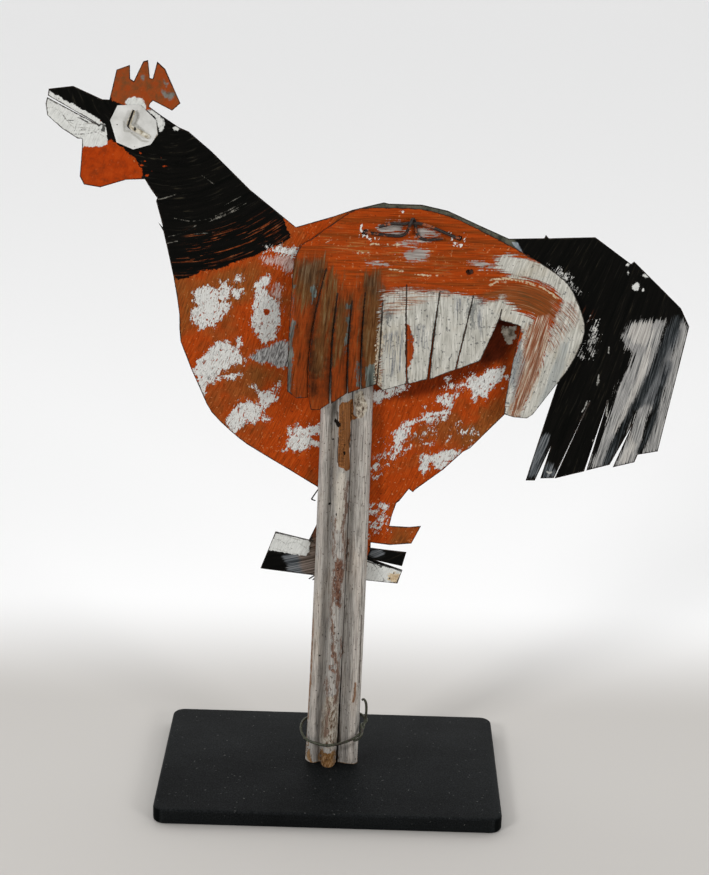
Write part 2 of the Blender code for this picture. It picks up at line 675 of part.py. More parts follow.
def build_eye(disc_material, wire_material):
    head_y = BODY_Y - body_bend(*EYE_HOLE)
    disc_gap = SHEET_THICKNESS + TOUCH_GAP * 2
    disc_y = head_y - disc_gap
    cut_sheet("eye_disc", EYE_DISC, [hole(EYE_HOLE, EYE_WIRE_DIAMETER)], [], body_bend, BODY_Y - disc_gap,
              disc_material)
    lying = disc_y - SHEET_THICKNESS / 2 - TOUCH_GAP - EYE_WIRE_DIAMETER / 2
    behind = head_y + SHEET_THICKNESS / 2 + TOUCH_GAP * 2 + EYE_WIRE_DIAMETER / 2
    hole_x, hole_z = EYE_HOLE
    bend_x, bend_z = EYE_BEND
    front_way = (bend_x - hole_x, bend_z - hole_z)
    path = [placed(*place, lying - out) for place, out in EYE_PRONG]
    path += through_hole(EYE_HOLE, front_way, (-1, -0.7), lying, behind, EYE_WIRE_DIAMETER)
    path.append(placed(hole_x - 9, hole_z - 6.3, behind + 0.0005))
    wire("eye_wire", path, EYE_WIRE_DIAMETER, wire_material)


def build_tie_wire(material):
    """One wire through both holes from behind, with its two ends twisted round each other in front."""
    radius = TIE_WIRE_DIAMETER / 2
    lying = WING_Y - SHEET_THICKNESS / 2 - TOUCH_GAP - radius
    step = TIE_WIRE_DIAMETER + TOUCH_GAP
    behind = BODY_Y + SHEET_THICKNESS / 2 + TOUCH_GAP + radius
    left, right = (Vector(place) for place in TIE_HOLES)
    twist = left.lerp(right, 0.49) + Vector((0, 10.2))

    def off(point, dx, dz, level):
        return placed(point.x + dx, point.y + dz, lying - level * step)

    path = [off(right, -13, 0.2, 0.35), off(twist, 16, -13.4, 0.15), off(twist, 8.2, -12.6, 0),
            off(twist, 4.6, -8.0, 0), off(twist, 3.4, -2.0, 0), off(twist, 2.4, 2.9, 0.35),
            off(twist, 0.4, 4.3, 1.3), off(twist, -1.4, 0.4, 2.3), off(twist, -3.0, -5.2, 1.3),
            off(twist, -7.5, -10.6, 0.2), off(left, 18, -1.9, 0)]
    path += through_hole(left, (1, -0.12), right - left, lying, behind, TIE_WIRE_DIAMETER)
    path.append(placed(*left.lerp(right, 0.5), behind + 0.0006))
    path += through_hole(right, (-1, 0.36), left - right, lying, behind, TIE_WIRE_DIAMETER)[::-1]
    path += [off(right, -16, 6.6, 0.4), off(twist, 10, 0.2, 1.1), off(twist, 0.0, 1.0, 1.2),
             off(twist, -9, -0.2, 1.0), off(left, 22, 8.4, 0.5), off(left, 11, 4.8, 0.2)]
    wire("wing_tie_wire", path, TIE_WIRE_DIAMETER, material)


def build_foot_ring(material):
    """A loose ring round the post's foot, low in front, with its second end wound round the first."""
    radius = RING_WIRE_DIAMETER / 2
    foot = Vector((post_middle_x(RING_LOW), 0, BASE_THICKNESS + RING_LOW))
    nose = POST_FRONT_Y - TOUCH_GAP - radius
    lobe = POST_BACK_Y - POST_LOBE_DEPTH - TOUCH_GAP - radius
    back = POST_BACK_Y + TOUCH_GAP + radius
    half = post_width(RING_LOW) / 2 + RING_SIDE_SLACK + radius
    bead_x = (LEFT_COVE_END + BEAD_END - 1) / 2 * post_width(RING_LOW)

    def ring_point(across, depth, rise):
        """A point by its share of the half width, its depth and its share of the rise on that side."""
        full = RING_LEFT_RISE + (RING_RIGHT_RISE - RING_LEFT_RISE) * (across + 1) / 2
        return foot + Vector((half * across, depth, full * rise))

    # from the right side round the front, the left side and the back
    between = (lobe + nose) / 2 - RING_BULGE
    turn = [ring_point(1.0, 0.0, 0.75), ring_point(0.86, lobe - RING_BULGE, 0.43),
            ring_point(0.46, between, 0.17), ring_point(bead_x / half, nose, 0.0),
            ring_point(-0.50, between, 0.03), ring_point(-0.84, lobe - RING_BULGE, 0.17),
            ring_point(-1.0, 0.0, 0.50), ring_point(-0.97, 0.6 * back, 0.81),
            ring_point(-0.80, back + RING_BACK_BULGE, 0.95), ring_point(0.0, back, 1.0),
            ring_point(0.80, back + RING_BACK_BULGE, 0.98), ring_point(0.97, 0.6 * back, 0.90)]
    # the first end stands up at the right side, hooked over towards the post
    path = [turn[0] + Vector((x, 0, z)) for x, z in RING_HOOK] + turn
    # the second pass over the right side winds round the first
    apart = RING_WIRE_DIAMETER + 2 * TOUCH_GAP
    half_step = RING_WIND_STEPS // 2
    second = curve_through([turn[-1]] + turn[:3], RING_WIND_STEPS)[half_step:-half_step]
    for k, place in enumerate(second):
        wind = math.radians(RING_WIND_START) + 2 * math.pi * RING_WINDS * k / (len(second) - 1)
        along = second[min(k + 1, len(second) - 1)] - second[max(k - 1, 0)]
        aside = along.cross(Vector((0, 0, 1))).normalized() * -1
        over = aside.cross(along).normalized()
        path.append(place + apart * (math.cos(wind) * aside + math.sin(wind) * over))
    wire("foot_ring_wire", path, RING_WIRE_DIAMETER, material, steps=2)


def build_thin_wires(material):
    """Two thin wires hooked under the nail heads, whose ends show left of the post."""
    back = BODY_Y + SHEET_THICKNESS / 2 + TOUCH_GAP + THIN_WIRE_DIAMETER / 2
    turn = SHEET_NAIL_DIAMETER / 2 + TOUCH_GAP + THIN_WIRE_DIAMETER / 2

    def round_nail(name, first, last):
        place = nail_place(SHEET_NAIL_HEIGHTS[name])
        angles = [math.radians(first + (last - first) * k / 5) for k in range(6)]
        return [Vector((place.x + turn * math.cos(a), back, place.z + turn * math.sin(a))) for a in angles]

    wire("belly_wire", [placed(0, 291, back)] + round_nail("sheet_nail_middle", -60, 150)
         + [placed(-6, 289, back), placed(-12, 280, back), placed(-17, 273, back),
            placed(-22, 265, back), placed(-22.3, 263.8, back), placed(-19, 262.6, back)],
         THIN_WIRE_DIAMETER, material, steps=3, resolution=1)
    wire("foot_wire", [placed(-20, 187, back), placed(-15.5, 191.5, back)]
         + round_nail("sheet_nail_foot", -60, 150)
         + [placed(-8, 202, back), placed(-18, 191.8, back), placed(-23.5, 188.0, back)],
         THIN_WIRE_DIAMETER, material, steps=3, resolution=1)


def main():
    for obj in list(bpy.data.objects):
        bpy.data.objects.remove(obj, do_unlink=True)
    black_wood = make_material("black_satin_wood", (0.012, 0.012, 0.013), 0.42, 0.0)
    old_wood = make_material("worn_painted_wood", (0.42, 0.40, 0.38), 0.75, 0.0)
    tin = make_material("orange_painted_tin", (0.62, 0.12, 0.02), 0.55, 0.0)
    wing_tin = make_material("rust_orange_painted_tin", (0.55, 0.13, 0.03), 0.55, 0.0)
    white_tin = make_material("white_painted_tin", (0.72, 0.72, 0.69), 0.5, 0.0)
    dark_wire = make_material("dark_iron_wire", (0.05, 0.035, 0.03), 0.5, 0.9)
    steel = make_material("dull_steel", (0.22, 0.21, 0.20), 0.5, 0.9)
    build_base(black_wood)
    build_post(old_wood)
    build_hen_sheet(tin)
    build_wing(wing_tin)
    build_eye(white_tin, dark_wire)
    build_tie_wire(dark_wire)
    build_foot_ring(dark_wire)
    build_thin_wires(dark_wire)
    build_sheet_nails(steel)
    build_wing_nail(steel)


main()
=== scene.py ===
import math

import bmesh
import bpy
import numpy as np
from mathutils import Matrix, Vector


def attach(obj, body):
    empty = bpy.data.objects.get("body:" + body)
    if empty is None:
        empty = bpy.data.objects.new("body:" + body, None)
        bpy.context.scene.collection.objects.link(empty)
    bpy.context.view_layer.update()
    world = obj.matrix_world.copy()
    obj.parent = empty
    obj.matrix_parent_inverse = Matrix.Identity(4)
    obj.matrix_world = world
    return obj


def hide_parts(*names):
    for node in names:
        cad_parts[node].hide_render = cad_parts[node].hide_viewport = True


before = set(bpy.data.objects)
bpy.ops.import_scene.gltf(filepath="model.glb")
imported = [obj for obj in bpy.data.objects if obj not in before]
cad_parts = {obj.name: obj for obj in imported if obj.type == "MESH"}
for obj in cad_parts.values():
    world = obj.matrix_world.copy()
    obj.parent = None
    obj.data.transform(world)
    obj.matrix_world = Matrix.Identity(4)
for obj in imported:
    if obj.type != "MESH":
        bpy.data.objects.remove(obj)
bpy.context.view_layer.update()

mm = 0.001


# Small helpers

def deselect():
    for other in bpy.context.selected_objects:
        other.select_set(False)


def pick(piece):  # leaves this the only selected object, and the active one
    if bpy.context.object and bpy.context.object.mode != "OBJECT":
        bpy.ops.object.mode_set(mode="OBJECT")
    deselect()
    bpy.context.view_layer.objects.active = piece
    piece.select_set(True)


def startEdit(piece, mode="VERT"):
    pick(piece)
    bpy.ops.object.mode_set(mode="EDIT")
    bpy.ops.mesh.select_mode(type=mode)
    bpy.ops.mesh.select_all(action="DESELECT")
    return bmesh.from_edit_mesh(piece.data)


def endEdit():
    bpy.ops.object.mode_set(mode="OBJECT")


def linkNew(name, data):
    made = bpy.data.objects.new(name, data)
    bpy.context.scene.collection.objects.link(made)
    return made


def copyNode(node, name):  # a merged copy of a CAD node's mesh, to work on
    piece = linkNew(name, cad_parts[node].data.copy())
    piece.data.name = name
    piece.data.materials.clear()
    pick(piece)
    bpy.ops.mesh.customdata_custom_splitnormals_clear()
    startEdit(piece)
    bpy.ops.mesh.select_all(action="SELECT")
    bpy.ops.mesh.remove_doubles(threshold=0.01 * mm)
    endEdit()
    return piece


def placesOf(piece):  # x, y and z of every point, in millimetres
    places = np.zeros(len(piece.data.vertices) * 3)
    piece.data.vertices.foreach_get("co", places)
    return [places[k::3] / mm for k in range(3)]


markReach = 2  # millimetres beside a thin mark that are meshed more finely


def refine(piece, longest, passes, marks=None):  # halves the long edges, beside the marks alone where there are any
    for k in range(passes):
        x, _, z = placesOf(piece)
        near = np.full(len(x), True) if marks is None else layerField(x, z, marks) > -markReach
        bm = startEdit(piece, "EDGE")
        for edge in bm.edges:
            edge.select = edge.calc_length() > longest and any(near[v.index] for v in edge.verts)
        bmesh.update_edit_mesh(piece.data)
        bpy.ops.mesh.subdivide(number_cuts=1)
        bpy.ops.mesh.select_all(action="SELECT")
        bpy.ops.mesh.quads_convert_to_tris(quad_method="SHORTEST_DIAGONAL", ngon_method="BEAUTY")
        endEdit()


def weigh(piece, name, weights):  # a vertex group; returns its name
    group = piece.vertex_groups.new(name=name)
    for index in np.flatnonzero(weights > 0):
        group.add([int(index)], float(weights[index]), "REPLACE")
    return name


def addModifier(piece, kind, **settings):
    modifier = piece.modifiers.new(kind.title(), kind)
    for key, value in settings.items():
        setattr(modifier, key, value)


def applyModifiers(piece):
    pick(piece)
    for modifier in list(piece.modifiers):
        bpy.ops.object.modifier_apply(modifier=modifier.name)


def finishPiece(piece, node, angle):
    pick(piece)
    bpy.ops.object.shade_smooth_by_angle(angle=math.radians(angle))
    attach(piece, "root")
    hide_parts(node)
    print(piece.name, len(piece.data.polygons), "faces")


def linear(colour):  # "#rrggbb" to linear RGBA
    values = [int(colour[k:k + 2], 16) / 255 for k in (1, 3, 5)]
    return tuple(v / 12.92 if v <= 0.04045 else ((v + 0.055) / 1.055) ** 2.4 for v in values) + (1,)


# Nodes

def feed(tree, node, feeds):  # links a node's inputs, or sets them
    for socket, source in feeds.items():
        if isinstance(source, bpy.types.NodeSocket):
            tree.links.new(source, node.inputs[socket])
        else:
            node.inputs[socket].default_value = source


def addNode(tree, kind, feeds=None, **settings):
    made = tree.nodes.new("ShaderNode" + kind)
    for key, value in settings.items():
        setattr(made, key, value)
    feed(tree, made, feeds or {})
    return made


def reckon(tree, operation, *values):
    return addNode(tree, "Math", dict(enumerate(values)), operation=operation).outputs[0]


def blend(tree, share, first, second):  # two colours
    return addNode(tree, "Mix", {0: share, 6: first, 7: second}, data_type="RGBA").outputs[2]


def spread(tree, value, low, high, atLow=0.0, atHigh=1.0, kind="LINEAR"):
    feeds = dict(enumerate((value, low, high, atLow, atHigh)))
    return addNode(tree, "MapRange", feeds, interpolation_type=kind).outputs[0]


def reliefOf(tree, height, strength):
    return addNode(tree, "Bump", {"Height": height, "Distance": 1.0, "Strength": strength}).outputs["Normal"]


def rampOf(tree, source, stops):
    node = addNode(tree, "ValToRGB", {"Fac": source})
    ramp = node.color_ramp
    while len(ramp.elements) < len(stops):
        ramp.elements.new(0.5)
    for element, (place, colour) in zip(ramp.elements, stops.items()):
        element.position = place
        element.color = linear(colour)
    return node.outputs["Color"]


def noiseOf(tree, source, sizes, detail, rough, distortion=0.0):  # sizes: its waves' lengths in mm, one or by axis
    lengths = (*sizes, 1000)[:3] if isinstance(sizes, tuple) else (sizes,) * 3
    scaled = addNode(tree, "VectorMath", {0: source, 1: [1 / (v * mm) for v in lengths]}, operation="MULTIPLY")
    return addNode(tree, "TexNoise", {"Vector": scaled.outputs[0], "Scale": 1.0, "Detail": detail,
                                      "Roughness": rough, "Distortion": distortion}).outputs["Fac"]


def newMaterial(name):  # with its tree, its shader and the object's coordinates
    material = bpy.data.materials.new(name)
    material.use_nodes = True
    tree = material.node_tree
    return material, tree, tree.nodes["Principled BSDF"], addNode(tree, "TexCoord").outputs["Object"]


# Camera, where the photo was taken from

cameraView = {"place": (0.0181, -1.6038, 0.8492), "yaw": -0.0025, "down": 0.315, "roll": 0.0286, "lens": 80,
              "sensor": 36}


def makeCamera(view):
    data = bpy.data.cameras.new("camera")
    data.lens = view["lens"]
    data.sensor_width = view["sensor"]
    data.sensor_fit = "AUTO"
    camera = linkNew("camera", data)
    yaw, down, roll = view["yaw"], view["down"], view["roll"]
    ahead = Vector((math.sin(yaw) * math.cos(down), math.cos(yaw) * math.cos(down), -math.sin(down)))
    right = Vector((math.cos(yaw), -math.sin(yaw), 0))
    up = right.cross(ahead)
    rightRolled = right * math.cos(roll) + up * math.sin(roll)
    upRolled = up * math.cos(roll) - right * math.sin(roll)
    turn = Matrix((rightRolled, upRolled, -ahead)).transposed().to_4x4()
    camera.matrix_world = Matrix.Translation(view["place"]) @ turn
    bpy.context.scene.camera = camera


makeCamera(cameraView)
print("camera set")


# Floor, world and soft lights: two low lamps in front, a bright room behind the piece, a dim one in front

studio = {"near": "#bdbab6", "far": "#f4f4f4", "turn": (0.13, 0.42), "floorSize": 40, "floorRough": 0.9,
          "floorGloss": 0.1, "roomTurn": (-0.3, 0.3), "roomFront": 0.18, "roomBack": 1.5, "aim": (0, 0, 0.4),
          "lamps": [("key", (-1.8, -2.1, 1.7), 0.6, 39), ("fill", (2.1, -2.1, 1.3), 0.8, 34)]}


def makeFloor(look):
    deselect()
    bpy.ops.mesh.primitive_plane_add(size=look["floorSize"], location=(0, 0, 0))
    floor = bpy.context.object
    floor.name = "floor"
    # matt board: a soft pale ground without reflections, that turns white behind the base as in the photo
    material, tree, shader, place = newMaterial("matt painted board")
    back = addNode(tree, "SeparateXYZ", {0: place}).outputs["Y"]
    share = spread(tree, back, *look["turn"], kind="SMOOTHSTEP")
    feed(tree, shader, {"Base Color": blend(tree, share, linear(look["near"]), linear(look["far"])),
                        "Roughness": look["floorRough"], "Specular IOR Level": look["floorGloss"]})
    floor.data.materials.append(material)


def makeLight(look):
    bpy.context.scene.view_settings.view_transform = "Standard"
    world = bpy.data.worlds.new("world")
    bpy.context.scene.world = world
    world.use_nodes = True
    tree = world.node_tree
    back = addNode(tree, "SeparateXYZ", {0: addNode(tree, "TexCoord").outputs["Generated"]}).outputs["Y"]
    room = spread(tree, back, *look["roomTurn"], look["roomFront"], look["roomBack"])
    feed(tree, tree.nodes["Background"], {"Color": (1, 1, 1, 1), "Strength": room})
    for name, place, size, power in look["lamps"]:
        data = bpy.data.lights.new(name, "AREA")
        data.shape = "SQUARE"
        data.size = size
        data.energy = power
        aim = (Vector(look["aim"]) - Vector(place)).to_track_quat("-Z", "Y").to_matrix().to_4x4()
        linkNew(name, data).matrix_world = Matrix.Translation(place) @ aim


makeFloor(studio)
makeLight(studio)
print("studio set")


# Paint laid out on a piece: each layer's field tells how deep inside its shapes a point lies, in millimetres.
# Shapes: ("area", x, z, ...), ("line", width, x, z, ...) and ("spots", x, z, half width, half height, ...).

fieldReach = 14  # a field stops this far outside its shapes
edgeReach = {"most": 6, "search": 8}  # how far the cut edge's dirt is measured, and looked for, in millimetres


def lineField(x, z, width, route):
    nearest = np.full(len(x), np.inf)
    for (x1, z1), (x2, z2) in zip(route, route[1:]):
        dx, dz = x2 - x1, z2 - z1
        along = np.clip(((x - x1) * dx + (z - z1) * dz) / max(dx * dx + dz * dz, 1e-9), 0, 1)
        nearest = np.minimum(nearest, np.hypot(x - x1 - along * dx, z - z1 - along * dz))
    return width / 2 - nearest


def areaField(x, z, corners):
    inside = np.zeros(len(x), bool)
    for (x1, z1), (x2, z2) in zip(corners, np.roll(corners, -1, 0)):
        if z1 != z2:
            crosses = (z1 > z) != (z2 > z)
            inside ^= crosses & (x < x1 + (z - z1) * (x2 - x1) / (z2 - z1))
    away = lineField(x, z, 0, np.vstack([corners, corners[:1]]))
    return np.where(inside, -away, away)


def layerField(x, z, shapes):
    field = np.full(len(x), -float(fieldReach))
    for kind, *numbers in shapes:
        if kind == "spots":
            for sx, sz, rx, rz in np.reshape(numbers, (-1, 4)):
                field = np.maximum(field, (1 - np.hypot((x - sx) / rx, (z - sz) / rz)) * min(rx, rz))
            continue
        width = numbers.pop(0) if kind == "line" else 0
        route = np.reshape(numbers, (-1, 2))
        low, high = route.min(0) - fieldReach, route.max(0) + fieldReach
        near = (x > low[0]) & (x < high[0]) & (z > low[1]) & (z < high[1])
        made = areaField(x[near], z[near], route) if kind == "area" else lineField(x[near], z[near], width, route)
        field[near] = np.maximum(field[near], made)
    return field


def giveField(piece, name, values):
    kind, key = ("FLOAT", "value") if values.ndim == 1 else ("FLOAT_VECTOR", "vector")
    piece.data.attributes.new(name, kind, "POINT").data.foreach_set(key, values.astype(np.float32).ravel())


def drawShapes(piece, shapes):
    x, _, z = placesOf(piece)
    for key, drawn in shapes.items():
        giveField(piece, key, layerField(x, z, drawn))


def cutEdgeField(piece):  # distance from the sheet's cut edges
    x, _, z = placesOf(piece)
    bm = bmesh.new()
    bm.from_mesh(piece.data)
    field = np.full(len(x), float(edgeReach["most"]))
    for edge in bm.edges:
        if edge.is_boundary:
            (x1, _, z1), (x2, _, z2) = (v.co / mm for v in edge.verts)
            across, up = np.abs(x - (x1 + x2) / 2), np.abs(z - (z1 + z2) / 2)
            near = np.flatnonzero((across < edgeReach["search"]) & (up < edgeReach["search"]))
            field[near] = np.minimum(field[near], -lineField(x[near], z[near], 0, [(x1, z1), (x2, z2)]))
    bm.free()
    return field


# A paint table's noises: source, waves' lengths in mm, detail, roughness and distortion. Grain and specks are drawn
# coarser than the real paint's, which are about 0.3 mm, so that they show from the camera.
# Its layers, from the lowest up: field, and the noises that make its border ragged by so many mm; start and soft,
# where the border lies and how wide it is; streaks, a noise with its low and high; within, the earlier layer that
# it stays in; shade, the noise that its colours follow; build, its thickness in mm; cover, its opacity.
# Relief is the noise and the height in mm of the brush marks all over.

usualLayer = {"shade": "grain", "rough": 0.5, "build": 0, "start": 0, "cover": 1}


def layerMask(tree, noises, masks, layer):  # where a layer lies
    mask = layer["cover"]
    if "field" in layer:
        depth = addNode(tree, "Attribute", attribute_name=layer["field"]).outputs["Fac"]
        for key, amount in layer["ragged"].items():
            depth = reckon(tree, "MULTIPLY_ADD", reckon(tree, "SUBTRACT", noises[key], 0.5), amount, depth)
        low = layer["start"] - layer["soft"] / 2
        mask = reckon(tree, "MULTIPLY", spread(tree, depth, low, low + layer["soft"], kind="SMOOTHSTEP"), mask)
    if "streaks" in layer:
        key, low, high = layer["streaks"]
        mask = reckon(tree, "MULTIPLY", spread(tree, noises[key], low, high), mask)
    if "within" in layer:
        mask = reckon(tree, "MULTIPLY", masks[layer["within"]], mask)
    return mask


def paintLayers(name, look):
    material, tree, shader, place = newMaterial(name)
    sources = {"place": place}
    for source, *_ in look["noises"].values():
        if source not in sources:
            sources[source] = addNode(tree, "Attribute", attribute_name=source).outputs["Vector"]
    noises = {key: noiseOf(tree, sources[source], *rest) for key, (source, *rest) in look["noises"].items()}
    colour, masks = None, {}
    for key, given in look["layers"].items():
        layer = usualLayer | given
        shade = noises[layer["shade"]]
        paint = rampOf(tree, shade, layer["colours"])
        if colour is None:
            colour, rough, height = paint, layer["rough"], reckon(tree, "MULTIPLY", shade, layer["build"] * mm)
            continue
        mask = masks[key] = layerMask(tree, noises, masks, layer)
        colour = blend(tree, mask, colour, paint)
        rough = addNode(tree, "Mix", {0: mask, 2: rough, 3: layer["rough"]}).outputs[0]
        height = reckon(tree, "MULTIPLY_ADD", mask, layer["build"] * mm, height)
    key, depth = look["relief"]
    relief = reckon(tree, "MULTIPLY_ADD", noises[key], depth * mm, height)
    feed(tree, shader, {"Base Color": colour, "Roughness": rough, "Normal": reliefOf(tree, relief, look["bump"]),
                        "Specular IOR Level": look["gloss"]})
    return material


# The two tin sheets: the viewer's side of the CAD sheet is meshed finely, bent smoothly, dented and thickened

sheetLook = {"step": 2.3 * mm, "passes": 4, "thinStep": 1 * mm, "thinPasses": 2, "bendPasses": 14,
             "thickness": 0.6 * mm, "dentSize": 0.055, "dentDepth": 0.9 * mm, "smoothAngle": 35}
thinMarks = ("darkMark", "greyMark", "paleMark", "flecks", "coreLine", "hole")  # the sheets are finer along these


def frontSkin(node, name):
    piece = copyNode(node, name)
    bm = startEdit(piece, "FACE")
    for face in bm.faces:
        face.select = face.normal.y > -0.3  # the back and the cut edges
    bmesh.update_edit_mesh(piece.data)
    bpy.ops.mesh.delete(type="FACE")
    endEdit()
    refine(piece, sheetLook["step"], sheetLook["passes"])
    return piece


def bendSmoothly(piece, weights):  # rounds the facets along Y and leaves the outline alone
    bm = bmesh.new()
    bm.from_mesh(piece.data)
    weights[[v.index for v in bm.verts if v.is_boundary]] = 0
    bm.free()
    addModifier(piece, "SMOOTH", factor=0.5, iterations=sheetLook["bendPasses"], use_x=False, use_z=False,
                vertex_group=weigh(piece, "bends", weights))
    applyModifiers(piece)


def dent(piece, free):  # slight waves beaten into the sheet, none where it lies against the post
    waves = bpy.data.textures.get("sheet waves") or bpy.data.textures.new("sheet waves", "CLOUDS")
    waves.noise_scale = sheetLook["dentSize"]
    waves.noise_depth = 1
    addModifier(piece, "DISPLACE", texture=waves, direction="Y", strength=sheetLook["dentDepth"], mid_level=0.5,
                texture_coords="LOCAL", vertex_group=weigh(piece, "dents", free))
    applyModifiers(piece)


def thicken(piece, materials):
    for material in materials:
        piece.data.materials.append(material)
    addModifier(piece, "SOLIDIFY", thickness=sheetLook["thickness"], offset=-1, material_offset=1,
                material_offset_rim=2)
    applyModifiers(piece)


def easeStep(low, high, value):
    t = np.clip((value - low) / (high - low), 0, 1)
    return t * t * (3 - 2 * t)


# Bare back of the sheet, hot-dipped tinplate gone dull: grey with a weak metal shine, rust blooms that are matt,
# and orange paint that ran round the edges

backLook = {"tin": {0.30: "#4c4a45", 0.50: "#6b6862", 0.70: "#85827b"}, "rust": "#5b2f18", "overspill": "#7c3312",
            "rough": (0.43, 0.75), "metal": (0.75, 0.1), "rustRange": (0.53, 0.66), "overspillRagged": 12,
            "overspillRange": (1.6, 0.4), "relief": 0.3 * mm, "bump": 0.6,
            "clouds": (25, 5, 0.6), "grain": ((2, 2, 6.25), 3, 0.6), "spots": (13.333, 6, 0.75)}
edgeLook = {"nicks": (3.333, 3, 0.6), "colours": {0.35: "#1a1512", 0.52: "#2c211a", 0.62: "#55504a"},
            "rough": 0.5, "metal": 0.4}


def bareBack(name, look):
    material, tree, shader, place = newMaterial(name)
    clouds, grain, spots = (noiseOf(tree, place, *look[key]) for key in ("clouds", "grain", "spots"))
    rust = spread(tree, spots, *look["rustRange"])
    colour = blend(tree, rust, rampOf(tree, clouds, look["tin"]), linear(look["rust"]))
    ragged = look["overspillRagged"]
    wander = reckon(tree, "MULTIPLY_ADD", clouds, ragged, -ragged / 2)
    edge = addNode(tree, "Attribute", attribute_name="cutEdge").outputs["Fac"]
    over = spread(tree, reckon(tree, "ADD", edge, wander), *look["overspillRange"])
    height = reckon(tree, "MULTIPLY", spots, look["relief"])
    feed(tree, shader, {"Base Color": blend(tree, over, colour, linear(look["overspill"])),
                        "Roughness": spread(tree, grain, 0, 1, *look["rough"]),
                        "Metallic": spread(tree, rust, 0, 1, *look["metal"]),
                        "Normal": reliefOf(tree, height, look["bump"])})
    return material


def snippedEdge(name, look):  # the sheet's cut edge: dark steel with paint in its burrs, a dark line round the paint
    material, tree, shader, place = newMaterial(name)
    feed(tree, shader, {"Base Color": rampOf(tree, noiseOf(tree, place, *look["nicks"]), look["colours"]),
                        "Roughness": look["rough"], "Metallic": look["metal"]})
    return material


backTin = bareBack("dull tinplate, bare back", backLook)
cutEdge = snippedEdge("snipped tin edge", edgeLook)


# Where the brush went: coordinates across and along its strokes, for the paints' streaks. A turn is the centre
# that strokes run round or out from, and the radius at which they keep their size. All in millimetres.

henBrush = {"slope": 66, "waves": [(5, 38), (3, 21)], "neckTurn": (-150, 640, 150), "tailTurn": (346, 787, 430),
            "tailFrom": 60}
wingBrush = {"endTurn": (140, 390, 60), "feathersTurn": (60, 1120, 700), "tipTurn": (280, 830, 450), "tipFrom": 125}


def polarStrokes(x, z, turn):
    dx, dz = x - turn[0], z - turn[1]
    return np.hypot(dx, dz), np.arctan2(dx, -dz) * turn[2]


def strokesField(across, along):
    return np.stack([across, along, np.zeros(len(across))], 1) * mm


def henStrokes(x, z):  # up the breast in wavy strokes; round the neck, and down the tail's feathers
    slope = math.radians(henBrush["slope"])
    along = x * math.cos(slope) + z * math.sin(slope)
    across = z * math.cos(slope) - x * math.sin(slope)
    for place, (height, length) in zip((along, x), henBrush["waves"]):
        across += height * np.sin(place / length)
    ring, arc = polarStrokes(x, z, henBrush["neckTurn"])
    far, fan = polarStrokes(x, z, henBrush["tailTurn"])
    tail = x > henBrush["tailFrom"]
    return strokesField(across, along), strokesField(np.where(tail, fan, ring), np.where(tail, far, arc))


def wingStrokes(x, z):  # along the wing and round its end; down the feathers, and down the tip
    endX, endZ, radius = wingBrush["endTurn"]
    dx, dz = x - endX, z - endZ
    end = dx > 0
    turn = np.arctan2(np.maximum(dx, 0), dz) * radius
    top = strokesField(np.where(end, endZ + np.hypot(dx, dz), z), np.where(end, endX + turn, x))
    far, fan = polarStrokes(x, z, wingBrush["feathersTurn"])
    tipFar, tipFan = polarStrokes(x, z, wingBrush["tipTurn"])
    tip = x > wingBrush["tipFrom"]
    return top, strokesField(np.where(tip, tipFan, fan), np.where(tip, tipFar, far))


# Layers that both sheets have: specks all over, and a dark line along the cut edges, the snipped edge's own dark with
# painted shade at the edge

sheetSpecks = {
    "pale specks": dict(
        streaks=("speck", 0.675, 0.72), build=0.1, cover=0.7, colours={0.4: "#b5622f", 0.6: "#c98a5c"}),
    "dark specks": dict(
        streaks=("grain", 0.64, 0.7), shade="mottle", rough=0.6, build=-0.1, cover=0.6,
        colours={0.4: "#3d1c0d", 0.6: "#5f2d14"})}


# painted shade: the front is darkened along its cut edges, as the edge's shadow, over the snipped edge's own dark
def rimAndEdgeShade(start):
    return dict(
        field="rim", ragged={"mottle": 2.4, "grain": 1.2}, start=start, soft=0.5, shade="mottle", rough=0.6,
        build=-0.1, cover=0.92, colours={0.4: "#0f0c0a", 0.62: "#2e2620"})


# Hen sheet, in brushed enamel: satin orange with streaks of brown where it thins, matt black on neck and tail, and
# thick white that stands up in ragged dabs

